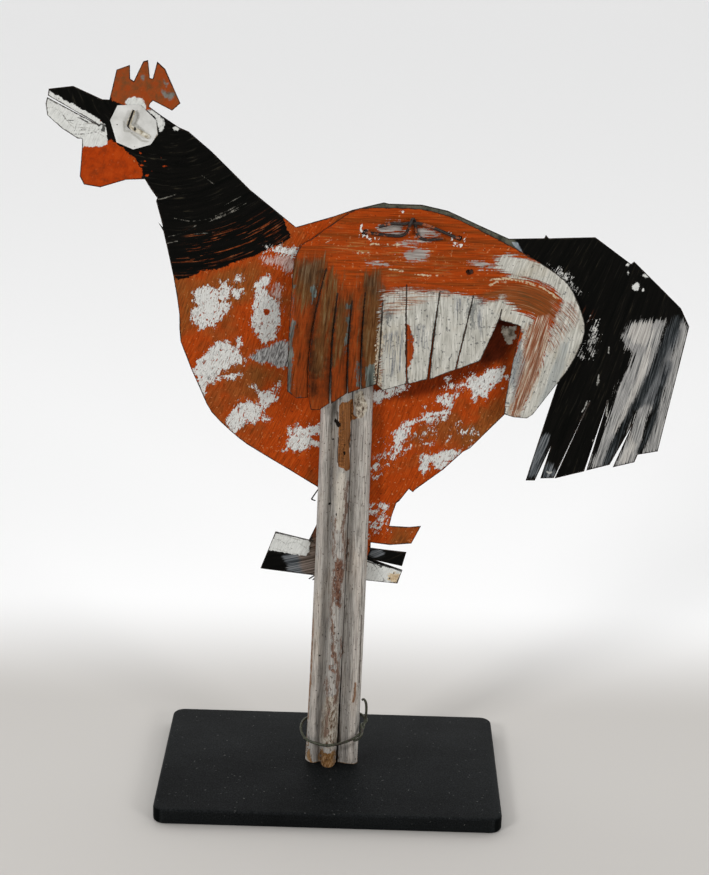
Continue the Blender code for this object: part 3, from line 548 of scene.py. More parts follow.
henPaint = {
    "noises": {
        "cloud": ("place", 38.46, 3, 0.6),
        "mottle": ("place", 6.667, 3, 0.65),
        "grain": ("place", 1.923, 2, 0.6),
        "speck": ("place", 2.381, 1, 0.5),
        "chip": ("strokesA", (2.5, 4.348), 2, 0.6, 0.6),
        "streak": ("strokesA", (1.176, 12.5), 4, 0.65, 0.3),
        "bristle": ("strokesA", (1.22, 6.667), 3, 0.7, 0.5),
        "comb": ("strokesB", (1.786, 33.33), 3, 0.6, 0.4),
        "scratch": ("strokesB", (0.8696, 27.78), 3, 0.65, 0.2),
        "sweep": ("strokesB", (3.846, 62.5), 4, 0.65, 0.3)},
    "relief": ("bristle", 0.12), "bump": 1, "gloss": 0.035,
    "layers": {
        "orange enamel": dict(
            shade="streak", build=0.1, colours={0.26: "#6a310d", 0.41: "#92390c", 0.53: "#a93f0e", 0.7: "#b6531a"}),
        "brown under coat": dict(
            field="brown", ragged={"cloud": 40, "streak": 14, "mottle": 12}, soft=14, shade="streak", rough=0.55,
            cover=0.85, colours={0.3: "#54391c", 0.44: "#7a421c", 0.56: "#8d4a1c", 0.7: "#7e6034"}),
        "brown drag": dict(
            streaks=("cloud", 0.5, 0.66), shade="streak", rough=0.55, cover=0.6,
            colours={0.35: "#5f3413", 0.65: "#84542a"}),
        **sheetSpecks,
        "wattle red": dict(
            field="wattleRed", ragged={"cloud": 4}, soft=3, shade="mottle", rough=0.45, cover=0.8,
            colours={0.33: "#84300e", 0.5: "#a5380a", 0.66: "#b24210"}),
        "comb brown": dict(
            field="combBrown", ragged={"cloud": 4}, soft=3, shade="mottle", cover=0.8,
            colours={0.33: "#6a4428", 0.48: "#8c4420", 0.6: "#97401a"}),
        "green smudges": dict(
            field="greenSmudge", ragged={"mottle": 6, "grain": 3}, soft=2.4, shade="mottle", cover=0.85,
            colours={0.35: "#4c4f45", 0.6: "#757d78"}),
        "olive back": dict(
            field="oliveGrey", ragged={"mottle": 3}, soft=1.2, shade="mottle",
            colours={0.35: "#32342c", 0.6: "#5e5e52"}),
        # brown paint and painted shade on the leg left of the post
        "brown and painted shade on the leg": dict(
            field="legShade", ragged={"mottle": 6, "streak": 6}, soft=5, shade="streak", rough=0.55, cover=0.92,
            colours={0.35: "#2a1c14", 0.6: "#5f4436"}),
        # painted shadow: dark red-brown where the wing's feathers shade the hen
        "painted shadow below the feathers": dict(
            field="wingShadow", ragged={"mottle": 5, "streak": 5}, soft=9, shade="streak", rough=0.6, cover=0.68,
            colours={0.34: "#310f04", 0.5: "#541a07", 0.64: "#6d260b"}),
        # painted shadow: near black in the opening behind the wing
        "painted shadow in the opening": dict(
            field="deepShade", ragged={"mottle": 5}, soft=7, shade="mottle", rough=0.6, cover=0.75,
            colours={0.38: "#1d0803", 0.6: "#3a1207"}),
        "old grey in the opening": dict(
            field="inside", ragged={"mottle": 7, "grain": 4}, soft=0.8, shade="mottle", build=0.1,
            colours={0.38: "#4b4339", 0.5: "#7f776b", 0.62: "#a39c90"}),
        "scumble": dict(
            field="scumble", ragged={"bristle": 22, "mottle": 10, "grain": 8}, start=1.5, soft=2, shade="bristle",
            build=0.05, cover=0.8, colours={0.36: "#8d6a60", 0.5: "#b79c94", 0.62: "#d2c4be"}),
        "grey dab": dict(
            field="greyBlue", ragged={"bristle": 10, "mottle": 9, "grain": 6}, soft=1.6, shade="bristle", build=0.1,
            colours={0.33: "#3b3938", 0.44: "#6b6968", 0.54: "#a3a2a1", 0.66: "#c9c9c7"}),
        "black enamel": dict(
            field="black", ragged={"grain": 4, "mottle": 4, "scratch": 3}, soft=0.8, shade="sweep", rough=0.4,
            build=0.12, colours={0.3: "#050605", 0.7: "#0f0e0c"}),
        "brown drag marks": dict(
            streaks=("comb", 0.58, 0.68), within="black enamel", shade="sweep", cover=0.35,
            colours={0.38: "#141411", 0.5: "#2d2b26", 0.66: "#59523f"}),
        "worn neck": dict(
            field="wornNeck", ragged={"sweep": 26}, start=5, soft=16, streaks=("comb", 0.575, 0.61),
            within="black enamel", shade="mottle", build=-0.08, cover=0.78,
            colours={0.35: "#4a2210", 0.5: "#7c3816", 0.65: "#a5603a"}),
        "blue sheen": dict(
            field="sheen", ragged={"scratch": 9, "sweep": 9}, soft=3, shade="scratch", cover=0.75,
            colours={0.34: "#24282b", 0.46: "#4f5458", 0.58: "#808488", 0.7: "#a0a0a0"}),
        "white dabs": dict(
            field="dabs", ragged={"bristle": 12, "grain": 7, "mottle": 13}, start=0.2, soft=0.45, shade="bristle",
            rough=0.45, build=0.25, colours={0.32: "#a3a19d", 0.44: "#cdcdc9", 0.56: "#dcdcd8", 0.68: "#e3e3df"}),
        "orange through the dabs": dict(
            streaks=("chip", 0.625, 0.65), within="white dabs", shade="streak", build=-0.2, cover=0.95,
            colours={0.35: "#7c3210", 0.6: "#a8471a"}),
        "hole in the dab": dict(
            field="dabHole", ragged={"mottle": 5, "grain": 3}, soft=0.5, shade="mottle", build=-0.2,
            colours={0.4: "#7d2c12", 0.6: "#a8502c"}),
        "pits in the dabs": dict(
            streaks=("bristle", 0.59, 0.61), within="white dabs", shade="mottle", build=-0.2, cover=0.8,
            colours={0.42: "#7e4a30", 0.5: "#8b7d74", 0.6: "#59534e"}),
        "pale sliver": dict(
            field="sliver", ragged={"grain": 2}, soft=1, shade="mottle", cover=0.9,
            colours={0.4: "#7e8890", 0.6: "#a9b1b8"}),
        "brown wash on the foot": dict(
            field="footWarm", ragged={"scratch": 8, "mottle": 5}, soft=5, shade="scratch", cover=0.85,
            colours={0.35: "#35291f", 0.5: "#6f6258", 0.62: "#8d7c72"}),
        "white spatter": dict(
            field="spatter", ragged={"scratch": 26, "grain": 14, "mottle": 14}, start=2.6, soft=0.6, shade="scratch",
            rough=0.45, build=0.25, colours={0.32: "#8f8d88", 0.46: "#c3c2bd", 0.6: "#dcdcd8"}),
        "grey brushed tail": dict(
            field="grey", ragged={"scratch": 18, "sweep": 13, "grain": 4}, start=0.4, soft=1.6, shade="scratch",
            rough=0.48, build=0.12, colours={0.3: "#2d2e2e", 0.41: "#747473", 0.54: "#9d9c9a", 0.68: "#c2c0bb"}),
        "light drag in tail": dict(
            field="greyLight", ragged={"scratch": 16, "sweep": 8}, soft=3, within="grey brushed tail",
            shade="scratch", rough=0.48, build=0.1, cover=0.8,
            colours={0.34: "#8d8985", 0.5: "#b9b5af", 0.66: "#d3d0ca"}),
        "thin grey in tail": dict(
            field="greySoft", ragged={"scratch": 18, "sweep": 12}, soft=5, shade="scratch", rough=0.45, cover=0.8,
            colours={0.34: "#1a1d1f", 0.48: "#3d4145", 0.62: "#6c7074"}),
        # dark paint along the tail's cut and crease, with painted shade of the cut and the crease
        "dark paint and painted shade in tail": dict(
            field="greyDark", ragged={"scratch": 18, "sweep": 10}, soft=2, shade="scratch", rough=0.45, cover=0.93,
            colours={0.36: "#0d0f10", 0.5: "#24282a", 0.64: "#4d5154"}),
        "white enamel": dict(
            field="white", ragged={"grain": 3, "mottle": 4}, soft=0.7, shade="bristle", rough=0.42, build=0.2,
            colours={0.28: "#a6a7a3", 0.4: "#cbccc8", 0.6: "#dbdcd8", 0.74: "#e5e5e2"}),
        "cream blotches": dict(
            field="cream", ragged={"grain": 14, "mottle": 10}, start=1, soft=1,
            colours={0.4: "#b59a78", 0.6: "#d6c4a4"}),
        "orange over": dict(
            field="orange", ragged={"grain": 3, "mottle": 3}, soft=0.7, shade="mottle", rough=0.48, build=0.1,
            colours={0.35: "#85300e", 0.6: "#ab3f12"}),
        "grey marks": dict(
            field="greyMark", ragged={"grain": 1, "mottle": 1}, soft=0.4, shade="mottle", build=-0.05, cover=0.75,
            colours={0.38: "#57554f", 0.62: "#8b887f"}),
        "pale marks": dict(
            field="paleMark", ragged={"grain": 1.2, "mottle": 1}, soft=0.4, cover=0.8,
            colours={0.4: "#86857f", 0.6: "#bdbcb6"}),
        "dark marks": dict(
            field="darkMark", ragged={"grain": 1.2, "mottle": 1}, soft=0.4, cover=0.9,
            colours={0.4: "#0f0f0e", 0.6: "#2c2b28"}),
        "grime in the white": dict(
            streaks=("speck", 0.7, 0.76), within="white enamel", rough=0.6, cover=0.7,
            colours={0.4: "#3a3835", 0.6: "#6a6660"}),
        "dark rim and painted edge shade": rimAndEdgeShade(-0.75)}}


henShapes = {
    "black": [
        ("area", -250, 622, -226.5, 623.5, -199.5, 614, -195.5, 611.5, -189.5, 608.5, -184, 607.5, -178, 604.5,
         -164.5, 603.5, -148.5, 603, -119, 582.5, -118.5, 518, -154, 517, -161.5, 534, -170, 543.5, -169, 550.5,
         -170, 554.5, -173, 559, -175.5, 563, -181, 567.5, -186.5, 572.5, -191.5, 575.5, -196, 578, -198.5, 579,
         -199, 588, -200, 590.5, -203.5, 594, -210, 598, -220, 603.5, -231.5, 609.5, -238, 613, -246, 617.5,
         -248, 619.5),
        ("area", -156, 600.5, -129, 590, -70, 541, -57.5, 527, -51.5, 516.5, -47.5, 505.5, -44.5, 502.5, -45, 499,
         -51, 495, -59, 490.5, -69.5, 485, -79.5, 480.5, -90, 477.5, -100, 472, -110.5, 469.5, -120.5, 468,
         -123, 465.5, -129, 463, -135, 461, -140.5, 460, -145, 465, -151.5, 468, -161.5, 524, -165.5, 540.5,
         -159.5, 565),
        ("area", 148.5, 501.5, 150, 495, 160, 487, 171.5, 465.5, 180.5, 404.5, 172, 356, 161, 281.5, 249, 283.5,
         320.5, 295, 308, 435, 245.5, 493.5, 212, 515, 169.5, 513.5),
        ("area", -61, 214.5, -71.5, 195.5, -69.5, 189, -48, 192.5, -44.5, 203.5, -43.5, 212.5),
        ("area", 33.5, 222.5, 65.5, 217.5, 61, 199, 41, 201, 32, 210.5),
        ("area", -62.5, 237.5, -53, 234, -20.5, 229, -17.5, 210, -17, 186.5, -71.5, 190),
        ("area", 30.5, 222.5, 69, 218.5, 64, 181.5, 26.5, 182.5, 28, 206.5),
        ("area", -250, 622, -194.5, 612.5, -193.5, 578, -199.5, 577.5, -200, 588, -205, 593, -206.5, 589, -220, 595.5,
         -236.5, 604, -247.5, 614),
        ("area", 144.5, 505, 155.5, 505, 156.5, 487.5, 152, 491.5, 147, 497)],
    "white": [
        ("area", -249, 619.5, -246, 617.5, -238, 613, -231.5, 609.5, -220, 603.5, -210, 598, -203.5, 594, -200, 590.5,
         -199, 585.5, -199, 582, -198.5, 578, -199, 574.5, -202, 572.5, -207, 572, -213, 572, -217, 572.5,
         -219, 570.5, -222.5, 570, -251, 597, -251, 617),
        ("area", -183.5, 608, -183, 611, -180.5, 613, -174.5, 613.5, -169.5, 612.5, -167, 609.5, -166, 606,
         -168, 600.5, -178, 600.5),
        ("area", -165.5, 604, -158.5, 602.5, -151, 596, -151.5, 588.5, -153.5, 585.5, -156, 586.5, -158.5, 597.5,
         -164.5, 602.5),
        ("area", -57, 235.5, -30, 231, -24, 226, -22, 220.5, -24, 214, -26, 211, -43.5, 212.5, -61, 214.5),
        ("area", 24, 209, 62, 198, 58.5, 183, 24.5, 188),
        ("spots", -141.5, 589, 2.3, 1.6, 242, 484, 1.4, 1.9, 242.5, 476.5, 1.2, 1, 250, 464.5, 3.1, 3.7,
         256, 462.5, 1, 1.6, 258, 474.5, 3, 1.5)],
    "dabs": [
        ("area", -126, 449.5, -118.5, 456, -110, 455.5, -104.5, 450, -105, 443.5, -100, 435, -106.5, 423.5, -110, 417,
         -113.5, 419.5, -120, 416.5, -128.5, 425.5, -128, 431.5, -123.5, 438, -127, 442),
        ("area", -104.5, 460, -98, 460, -95, 454, -96.5, 445, -102.5, 441, -105, 445, -104.5, 451),
        ("area", -100, 441.5, -94, 441.5, -96.5, 432.5, -104, 423.5, -106.5, 427),
        ("area", -94, 454, -85, 453.5, -88, 445.5, -94, 444.5),
        ("area", -127.5, 380.5, -122, 391, -113.5, 399, -106, 406, -97.5, 408.5, -94, 404.5, -90, 399.5, -86.5, 396,
         -84.5, 389, -91, 385.5, -98.5, 381.5, -106, 374.5, -113.5, 370.5, -116.5, 360, -119, 356.5, -121.5, 368,
         -124.5, 371.5),
        ("area", -97, 334.5, -93.5, 345, -87, 352, -77.5, 356, -69.5, 350, -67, 340.5, -72, 334, -78.5, 336.5,
         -84.5, 331, -88, 323, -94, 324),
        ("area", -77.5, 366.5, -72.5, 368.5, -67.5, 361.5, -60, 367, -57.5, 372, -53, 371, -54, 357, -59.5, 350,
         -66, 344.5, -71, 352.5, -70, 359),
        ("area", -47, 325.5, -42, 332.5, -38, 326, -32, 331.5, -22, 335, -9.5, 336, -9.5, 325.5, -22, 324.5, -27, 322,
         -21.5, 318.5, -9, 320, -9, 313, -24, 313, -34, 308, -40.5, 308.5, -45.5, 317.5),
        ("area", 24.5, 364, 41, 369, 61, 374, 62, 371.5, 48.5, 364, 40.5, 358, 32, 356, 25, 354),
        ("area", 109, 390, 114.5, 388.5, 117.5, 383.5, 125, 385, 130, 390.5, 141, 391, 142, 385.5, 137, 376, 131, 369,
         126, 360.5, 123.5, 364.5, 119.5, 366, 117.5, 359.5, 114, 365.5, 111.5, 378),
        ("area", 81, 358.5, 83.5, 366, 86.5, 368.5, 89, 364, 87.5, 358.5, 84.5, 356.5),
        ("area", 76, 354.5, 82.5, 359.5, 85, 357, 84, 352, 85.5, 345.5, 85, 337.5, 82.5, 333, 79, 337.5, 75.5, 342.5,
         75, 349),
        ("area", 88, 355, 92, 357.5, 96.5, 351.5, 95.5, 343.5, 93, 337, 89, 340.5, 89.5, 347.5),
        ("area", 69, 348, 72.5, 350, 76.5, 347, 74.5, 344, 71, 345),
        ("area", 66, 342, 70.5, 343.5, 70, 338.5, 68, 336),
        ("area", 48, 327, 50, 332, 58, 339.5, 64, 342, 65, 338, 60, 331, 57.5, 326.5, 57, 317.5, 51.5, 318,
         50, 322.5),
        ("area", 45, 318.5, 49.5, 319.5, 50.5, 313.5, 45.5, 311.5),
        ("area", 71.5, 308.5, 78.5, 310.5, 83, 309, 88, 312.5, 96, 314.5, 108, 315, 109.5, 319, 109.5, 313,
         100.5, 304.5, 88.5, 294, 85.5, 296.5, 82, 301, 79.5, 293.5, 75.5, 289.5, 73.5, 293.5, 73.5, 301),
        ("area", 114, 316.5, 116.5, 323.5, 119.5, 324.5, 116.5, 316),
        ("area", -68, 484.5, -65, 490, -36, 492.5, -38.5, 485.5, -41, 480, -46.5, 483.5, -57, 484.5, -61, 485.5),
        ("area", -73, 458.5, -71, 458, -69, 463, -66.5, 465.5, -63, 465, -61.5, 462.5, -63, 459, -66.5, 457.5,
         -67, 454.5, -65, 452, -61, 446.5, -54.5, 443, -51.5, 435.5, -52.5, 427, -54.5, 418.5, -58, 412, -59, 407,
         -64, 406, -70, 407.5, -72, 413.5, -75.5, 416, -78, 420, -76, 425, -77.5, 429.5, -76.5, 436, -75.5, 444.5,
         -74, 452.5),
        ("line", 3, -113.5, 370, -98.5, 374.5, -85.5, 377),
        ("line", 1.9, 97, 361, 96.5, 352.5),
        ("line", 1.8, 77.5, 330.5, 72.5, 325),
        ("line", 1.4, 68, 327, 64, 320, 59, 311),
        ("line", 2.6, 63.5, 328.5, 63.5, 324),
        ("spots", -89.5, 461.5, 3.5, 3.5, -65.5, 461.5, 4.5, 4.5, -88, 405, 2, 3.5, -82, 388.5, 2.2, 2,
         -64.5, 338, 3.2, 1.5, -36.5, 334, 2.2, 1.7, -54.5, 324.5, 1.2, 1, -48, 311, 1.7, 1.5, 92, 370.5, 1.6, 2.5,
         103, 372, 1.6, 1.4, 93.5, 379.5, 1.1, 1.9, 101.5, 379.5, 1.2, 2.8, 100.5, 364, 1.2, 1.1, 35.5, 318, 1.4, 1.9,
         33.5, 307.5, 2.1, 2.3, 40.5, 313, 1.8, 1.6, 40, 307.5, 1.4, 1.2, 32.5, 301.5, 1.6, 1.1, 38, 298, 1.1, 1.2,
         41, 294, 1.6, 1.6, 31, 294.5, 3, 3.5, 46, 303, 1.1, 1.4, 42, 308.5, 1.1, 1.1, 54.5, 313.5, 1.9, 2.6,
         51.5, 307.5, 1.2, 0.9, 32.5, 287.5, 2.3, 1.1, 97, 325, 1.6, 2.3, 80, 319.5, 3, 1.6, 86, 325.5, 1.2, 1.2,
         104, 339, 1.1, 0.8, 140, 372.5, 1, 1, 143.5, 382, 1, 1.9, 119.5, 330.5, 1.9, 1, 108.5, 330.5, 1.8, 1.2,
         41.5, 260, 2.8, 2.5, 40.5, 248, 3.7, 2.5, 32, 260, 2.3, 2.3, 33.5, 254.5, 3, 1.2, 32, 244, 1.8, 1.1,
         117, 335, 0.8, 0.8, 85.5, 331, 1.1, 0.9, 41.5, 260, 2.9, 2.5, 41, 248.5, 4.9, 2.5, 30, 260, 2.5, 3.3,
         34, 255.5, 3.5, 1.9, 33, 244.5, 2.9, 1.6, 36.5, 240, 4.3, 1.4, 30, 240.5, 2.1, 2.3, 44, 244, 3.9, 1.2,
         29.5, 233, 1.7, 1.4, 35.5, 235.5, 2.1, 1)],
    "scumble": [
        ("area", -69, 482, -59, 485.5, -37.5, 486, -38.5, 477, -43, 465.5, -50.5, 470.5, -59, 474.5, -67, 473),
        ("area", -60.5, 458, -53.5, 459.5, -51, 453, -53, 446.5, -50, 438.5, -53, 439.5, -56.5, 445, -61, 449.5)],
    "greyBlue": [
        ("area", -77.5, 393, -68, 401.5, -55.5, 407, -42, 408.5, -41.5, 382, -55.5, 384.5, -62.5, 388, -72.5, 389)],
    "orange": [
        ("area", -67.5, 436, -64.5, 436.5, -61, 435.5, -63.5, 428.5, -66, 431),
        ("area", 84.5, 352.5, 86.5, 353, 88, 348.5, 86.5, 347, 84.5, 349.5),
        ("spots", -168, 561, 1.4, 0.7, -171, 567.5, 0.7, 0.5, -165.5, 549, 1.2, 1.2, -162.5, 553, 0.7, 0.4,
         -170, 557.5, 1, 0.7, -151.5, 557, 2.3, 0.4, -173, 568.5, 0.5, 0.4, -153.5, 563.5, 0.5, 0.4,
         82.5, 298.5, 1, 1.3, 122.5, 377, 0.7, 0.5)],
    "wornNeck": [
        ("area", -133, 504, -100.5, 510, -75, 520, -61, 526.5, -43, 504.5, -45, 496, -69.5, 483, -100, 470.5,
         -135, 459, -146.5, 464.5, -149, 477.5, -138, 483),
        ("area", 205, 448.5, 211, 444.5, 216.5, 443, 215, 435.5, 209.5, 432, 205.5, 439)],
    "brown": [
        ("area", -147, 462.5, -122.5, 463.5, -78.5, 479.5, -59, 471.5, -78, 445.5, -95.5, 430, -117.5, 429.5,
         -139.5, 403, -144.5, 443.5),
        ("area", -80, 386, -45.5, 384, -50, 370, -72.5, 370.5),
        ("area", -195.5, 611, -191.5, 636.5, -178, 642, -161, 644.5, -150, 638, -136, 610, -146, 603, -164.5, 611,
         -184, 607.5),
        ("area", 45, 240, 75.5, 245, 67, 225, 52.5, 224.5),
        ("area", -27.5, 202, -15.5, 203, -15.5, 190, -27.5, 191.5),
        ("area", 123, 353.5, 142.5, 370.5, 143.5, 346.5, 126, 328.5, 113, 319)],
    "oliveGrey": [
        ("area", 4.5, 529.5, 30, 534, 62.5, 533.5, 90.5, 528, 118.5, 516, 139.5, 505, 149, 504, 150.5, 492.5,
         132, 498.5, 106.5, 512, 87, 521.5, 55, 527.5, 5, 523)],
    "paleMark": [
        ("line", 0.9, 232.5, 363, 232, 355, 233, 348.5),
        ("line", 1, 224, 381.5, 222.5, 377),
        ("line", 0.7, 230.5, 410.5, 230.5, 405.5),
        ("line", 1.4, 183.5, 297.5, 186, 296, 187.5, 297),
        ("line", 0.8, 217, 362, 211, 344.5, 209, 340),
        ("line", 0.9, 230.5, 411, 230.5, 405.5),
        ("line", 0.9, 223.5, 386, 222.5, 378.5),
        ("line", 0.9, 215, 362, 213, 355.5, 211, 352),
        ("line", 1, 233, 363, 232.5, 350),
        ("spots", 223, 325.5, 1.3, 1.3)],
    "darkMark": [
        ("line", 2.3, -247, 612.5, -242.5, 610.5, -233.5, 605),
        ("line", 0.4, -233.5, 604.5, -220, 598, -205, 589.5),
        ("line", 1.4, -205.5, 589.5, -203, 591, -200, 589.5),
        ("line", 0.6, -218.5, 594, -214.5, 592),
        ("line", 0.4, -242.5, 603, -237, 601, -232, 593.5, -226, 593.5),
        ("line", 0.4, -226, 585, -217, 586.5, -210, 587),
        ("line", 0.4, -228, 582, -216, 582.5, -207, 584.5),
        ("line", 0.5, -246.5, 597, -239, 588.5, -229.5, 582.5, -222, 578),
        ("line", 0.8, -60, 214, -52, 212, -43.5, 212),
        ("line", 0.8, -55, 231.5, -40.5, 229, -23.5, 227.5, -18.5, 223.5),
        ("line", 0.8, 28.5, 207.5, 41.5, 203, 44.5, 204, 59.5, 198),
        ("line", 0.6, -223, 596, -219.5, 595, -214.5, 592.5),
        ("line", 0.6, -203.5, 591.5, -202, 589, -203.5, 586, -200, 584),
        ("line", 0.5, -154.5, 598, -152, 595, -152.5, 590),
        ("line", 0.5, 33.5, 206.5, 39, 198, 45, 188.5),
        ("line", 0.5, 40, 205, 47, 202, 55, 200.5),
        ("line", 0.8, -156.5, 508.5, -153, 506, -151.5, 500),
        ("spots", -201.5, 587, 1.4, 2.3, 41, 203, 1, 1.4, 52.5, 196.5, 0.8, 0.7, 46.5, 186.5, 1.4, 1,
         53.5, 186, 1.4, 0.8, 49, 191.5, 0.9, 0.9)],
    "cream": [
        ("area", 47.5, 197, 61, 198, 57.5, 184, 46.5, 189.5)],
    "spatter": [
        ("area", 174, 483, 178, 481, 187, 478, 194, 472, 198, 465, 207, 458.5, 203.5, 457.5, 194.5, 461.5, 187.5, 470,
         178.5, 476),
        ("area", 214, 437.5, 219, 435, 221, 427, 219, 412.5, 217, 404, 213, 405.5, 210.5, 412.5, 214, 423.5),
        ("area", 207.5, 409, 210, 405.5, 208, 398, 205.5, 401.5)],
    "grey": [
        ("area", 249.5, 434.5, 270.5, 435.5, 277, 435, 276.5, 420.5, 272.5, 406.5, 269, 392, 264, 377.5, 258.5, 363,
         252, 350, 243, 333.5, 236.5, 319.5, 234, 304.5, 220, 300.5, 221.5, 308, 229, 326.5, 235, 344.5, 239, 366.5,
         243, 381, 247.5, 392, 252, 404.5, 244.5, 413, 242, 420.5, 245, 429),
        ("area", 282, 420.5, 289, 405.5, 281.5, 384, 275.5, 371.5, 273, 359, 267.5, 340.5, 265, 325.5, 263, 314.5,
         261, 305.5, 241, 302, 245, 309, 253.5, 331.5, 257.5, 348, 263.5, 363, 271, 384.5, 275, 399),
        ("area", 291.5, 436, 300, 428, 298, 413, 296, 385.5, 292.5, 361.5, 286, 330, 282, 314.5, 262.5, 312,
         269, 319.5, 275, 334, 278, 353, 281, 373, 284.5, 395, 288, 413)],
    "greyDark": [
        ("line", 7, 288.5, 434.5, 280, 413.5, 272, 392, 263.5, 372, 257, 358.5),
        ("line", 4.5, 255, 359.5, 245.5, 335.5, 237, 314, 234, 304.5),
        ("line", 3.1, 278, 375, 275, 347.5, 268.5, 325.5, 264, 316.5)],
    "greySoft": [
        ("area", 279.5, 406.5, 288, 394.5, 282.5, 376.5, 277, 373.5, 273, 359, 264, 359, 265, 368.5, 272.5, 384.5),
        ("line", 12.2, 286, 424, 278, 402.5, 269.5, 379.5)],
    "greyLight": [
        ("area", 250, 433, 267, 434, 267, 420.5, 261.5, 413.5, 251, 415, 246, 422),
        ("line", 5.2, 266, 410, 261.5, 392, 254.5, 368.5, 248.5, 350.5, 242.5, 335.5),
        ("line", 3.8, 249.5, 341, 258, 322, 252, 307)],
    "sheen": [
        ("area", 172, 319, 180, 332, 184, 328, 181, 313.5, 176, 293.5, 167, 288, 168.5, 302),
        ("area", 180, 303, 187.5, 305, 190.5, 294.5, 180.5, 292),
        ("area", -47, 210, -40.5, 211.5, -19, 210, -17, 191.5, -26, 192, -41.5, 193.5, -43.5, 202),
        ("area", 31.5, 219.5, 41, 218.5, 43.5, 214, 38, 211.5, 31.5, 213)],
    "legShade": [
        ("area", -18, 247.5, -13, 247.5, -11.5, 190, -17, 189, -19, 210, -24.5, 211.5, -22, 229)],
    "wattleRed": [
        ("area", -220.5, 571.5, -207, 572.5, -196, 579.5, -190, 574, -167.5, 551.5, -169, 543.5, -206, 536.5,
         -219.5, 538, -223.5, 546.5)],
    "combBrown": [
        ("area", -197, 610, -191.5, 637.5, -179.5, 640.5, -164, 645, -157, 644.5, -136, 610, -144.5, 602, -162.5, 611,
         -164.5, 603.5, -178, 612.5, -184.5, 608)],
    "greenSmudge": [
        ("area", -153.5, 620.5, -148.5, 618, -143.5, 619.5, -141.5, 616.5, -146.5, 613, -151.5, 614.5),
        ("area", -169, 632, -166.5, 631, -168.5, 627.5, -170, 629.5),
        ("area", -152, 628.5, -148.5, 625.5, -149.5, 623, -151.5, 625.5)],
    "greyMark": [
        ("line", 0.4, -247.5, 603.5, -242, 604, -236.5, 601, -232.5, 595, -228.5, 589.5, -225, 587),
        ("line", 0.4, -226.5, 587, -218, 588, -210, 587, -201, 583.5),
        ("line", 0.4, -225, 585, -217, 585.5, -208.5, 585, -201, 580.5),
        ("line", 0.4, -227.5, 591, -221, 590, -212.5, 591.5, -205.5, 590),
        ("line", 0.4, -246, 610, -241, 607.5, -233, 603),
        ("line", 0.4, -55, 225.5, -49.5, 224.5, -44, 221, -38.5, 217, -42, 215.5, -44.5, 216.5, -44, 221,
         -38.5, 223.5, -33, 223, -27, 219, -23.5, 216),
        ("line", 0.4, -56.5, 217.5, -49.5, 215, -41, 213, -30, 212),
        ("line", 0.4, -54, 229, -44, 228.5, -31.5, 225.5),
        ("line", 0.4, 32.5, 198.5, 40, 202, 48.5, 204),
        ("line", 0.4, 36.5, 189.5, 44.5, 196, 51.5, 200.5),
        ("line", 0.6, -154.5, 529, -145.5, 532),
        ("line", 0.6, -114.5, 510.5, -100.5, 516.5, -88, 522.5),
        ("line", 0.6, -100.5, 525.5, -86.5, 533.5),
        ("line", 0.6, -150.5, 491, -140.5, 493.5),
        ("line", 0.6, -126, 500, -110.5, 501.5),
        ("line", 0.4, -158, 528.5, -149.5, 530.5, -141.5, 533.5),
        ("line", 0.4, -109, 515.5, -96.5, 521.5, -85.5, 528),
        ("line", 0.4, -112, 512.5, -98, 518.5, -82.5, 527.5),
        ("line", 0.4, -143, 513, -129, 510.5, -112, 513.5),
        ("line", 0.4, -120, 550, -113.5, 545.5, -109, 542.5),
        ("line", 0.4, -148, 497, -135.5, 500.5, -124.5, 507.5)],
    "footWarm": [
        ("area", -32, 210.5, -23, 212, -23.5, 224, -17.5, 228, -17, 192.5, -29.5, 193.5)],
    # the painted shadow's area under the feathers
    "wingShadow": [
        ("area", 26, 371, 38.5, 373.5, 57, 378.5, 76.5, 385.5, 98, 397, 119.5, 406.5, 127, 441, 153, 437.5,
         150.5, 407.5, 142, 390, 135.5, 396, 123.5, 386, 105, 378, 95, 371, 76.5, 364, 58, 360, 39, 358.5, 26.5, 356)],
    "deepShade": [
        ("area", 122.5, 406.5, 127, 436.5, 152, 433, 147, 416, 141.5, 398.5, 125, 393.5, 117, 393.5)],
    "inside": [
        ("area", 137, 428.5, 143, 426.5, 149.5, 427.5, 149, 418, 144, 410.5, 140.5, 415.5, 138, 421)],
    "sliver": [
        ("area", 141.5, 501, 147, 500.5, 150, 495.5, 152.5, 491, 147, 495)],
    "dabHole": [
        ("spots", -64.5, 434, 1.9, 1.3, -62, 429.5, 1.1, 2.4)]}


def paintedSheet(node, name, shapes, strokes, paint, materialName, weights, free):
    piece = frontSkin(node, name)
    marks = [mark for key in thinMarks for mark in shapes.get(key, [])]
    refine(piece, sheetLook["thinStep"], sheetLook["thinPasses"], marks)
    x, _, z = placesOf(piece)
    bendSmoothly(piece, weights(x, z))
    dent(piece, free(x, z))
    drawShapes(piece, shapes)
    edge = cutEdgeField(piece)
    giveField(piece, "cutEdge", edge)
    giveField(piece, "rim", -edge)
    for key, field in zip(("strokesA", "strokesB"), strokes(x, z)):
        giveField(piece, key, field)
    thicken(piece, [paintLayers(materialName, paint), backTin, cutEdge])
    finishPiece(piece, node, sheetLook["smoothAngle"])


def evenly(x, z):
    return np.ones(len(x))


def henFree(x, z):  # how far each point may wave: not behind the post, up to its top at z 425
    return np.maximum(easeStep(28, 70, np.abs(x - 5)), easeStep(430, 470, z))


paintedSheet("hen_sheet", "henTin", henShapes, henStrokes, henPaint, "brushed enamel on tinplate, hen", evenly, henFree)


# Wing, in the same enamel, more worn: browns and bare blue-grey metal on the pleats, brushed off-white feathers

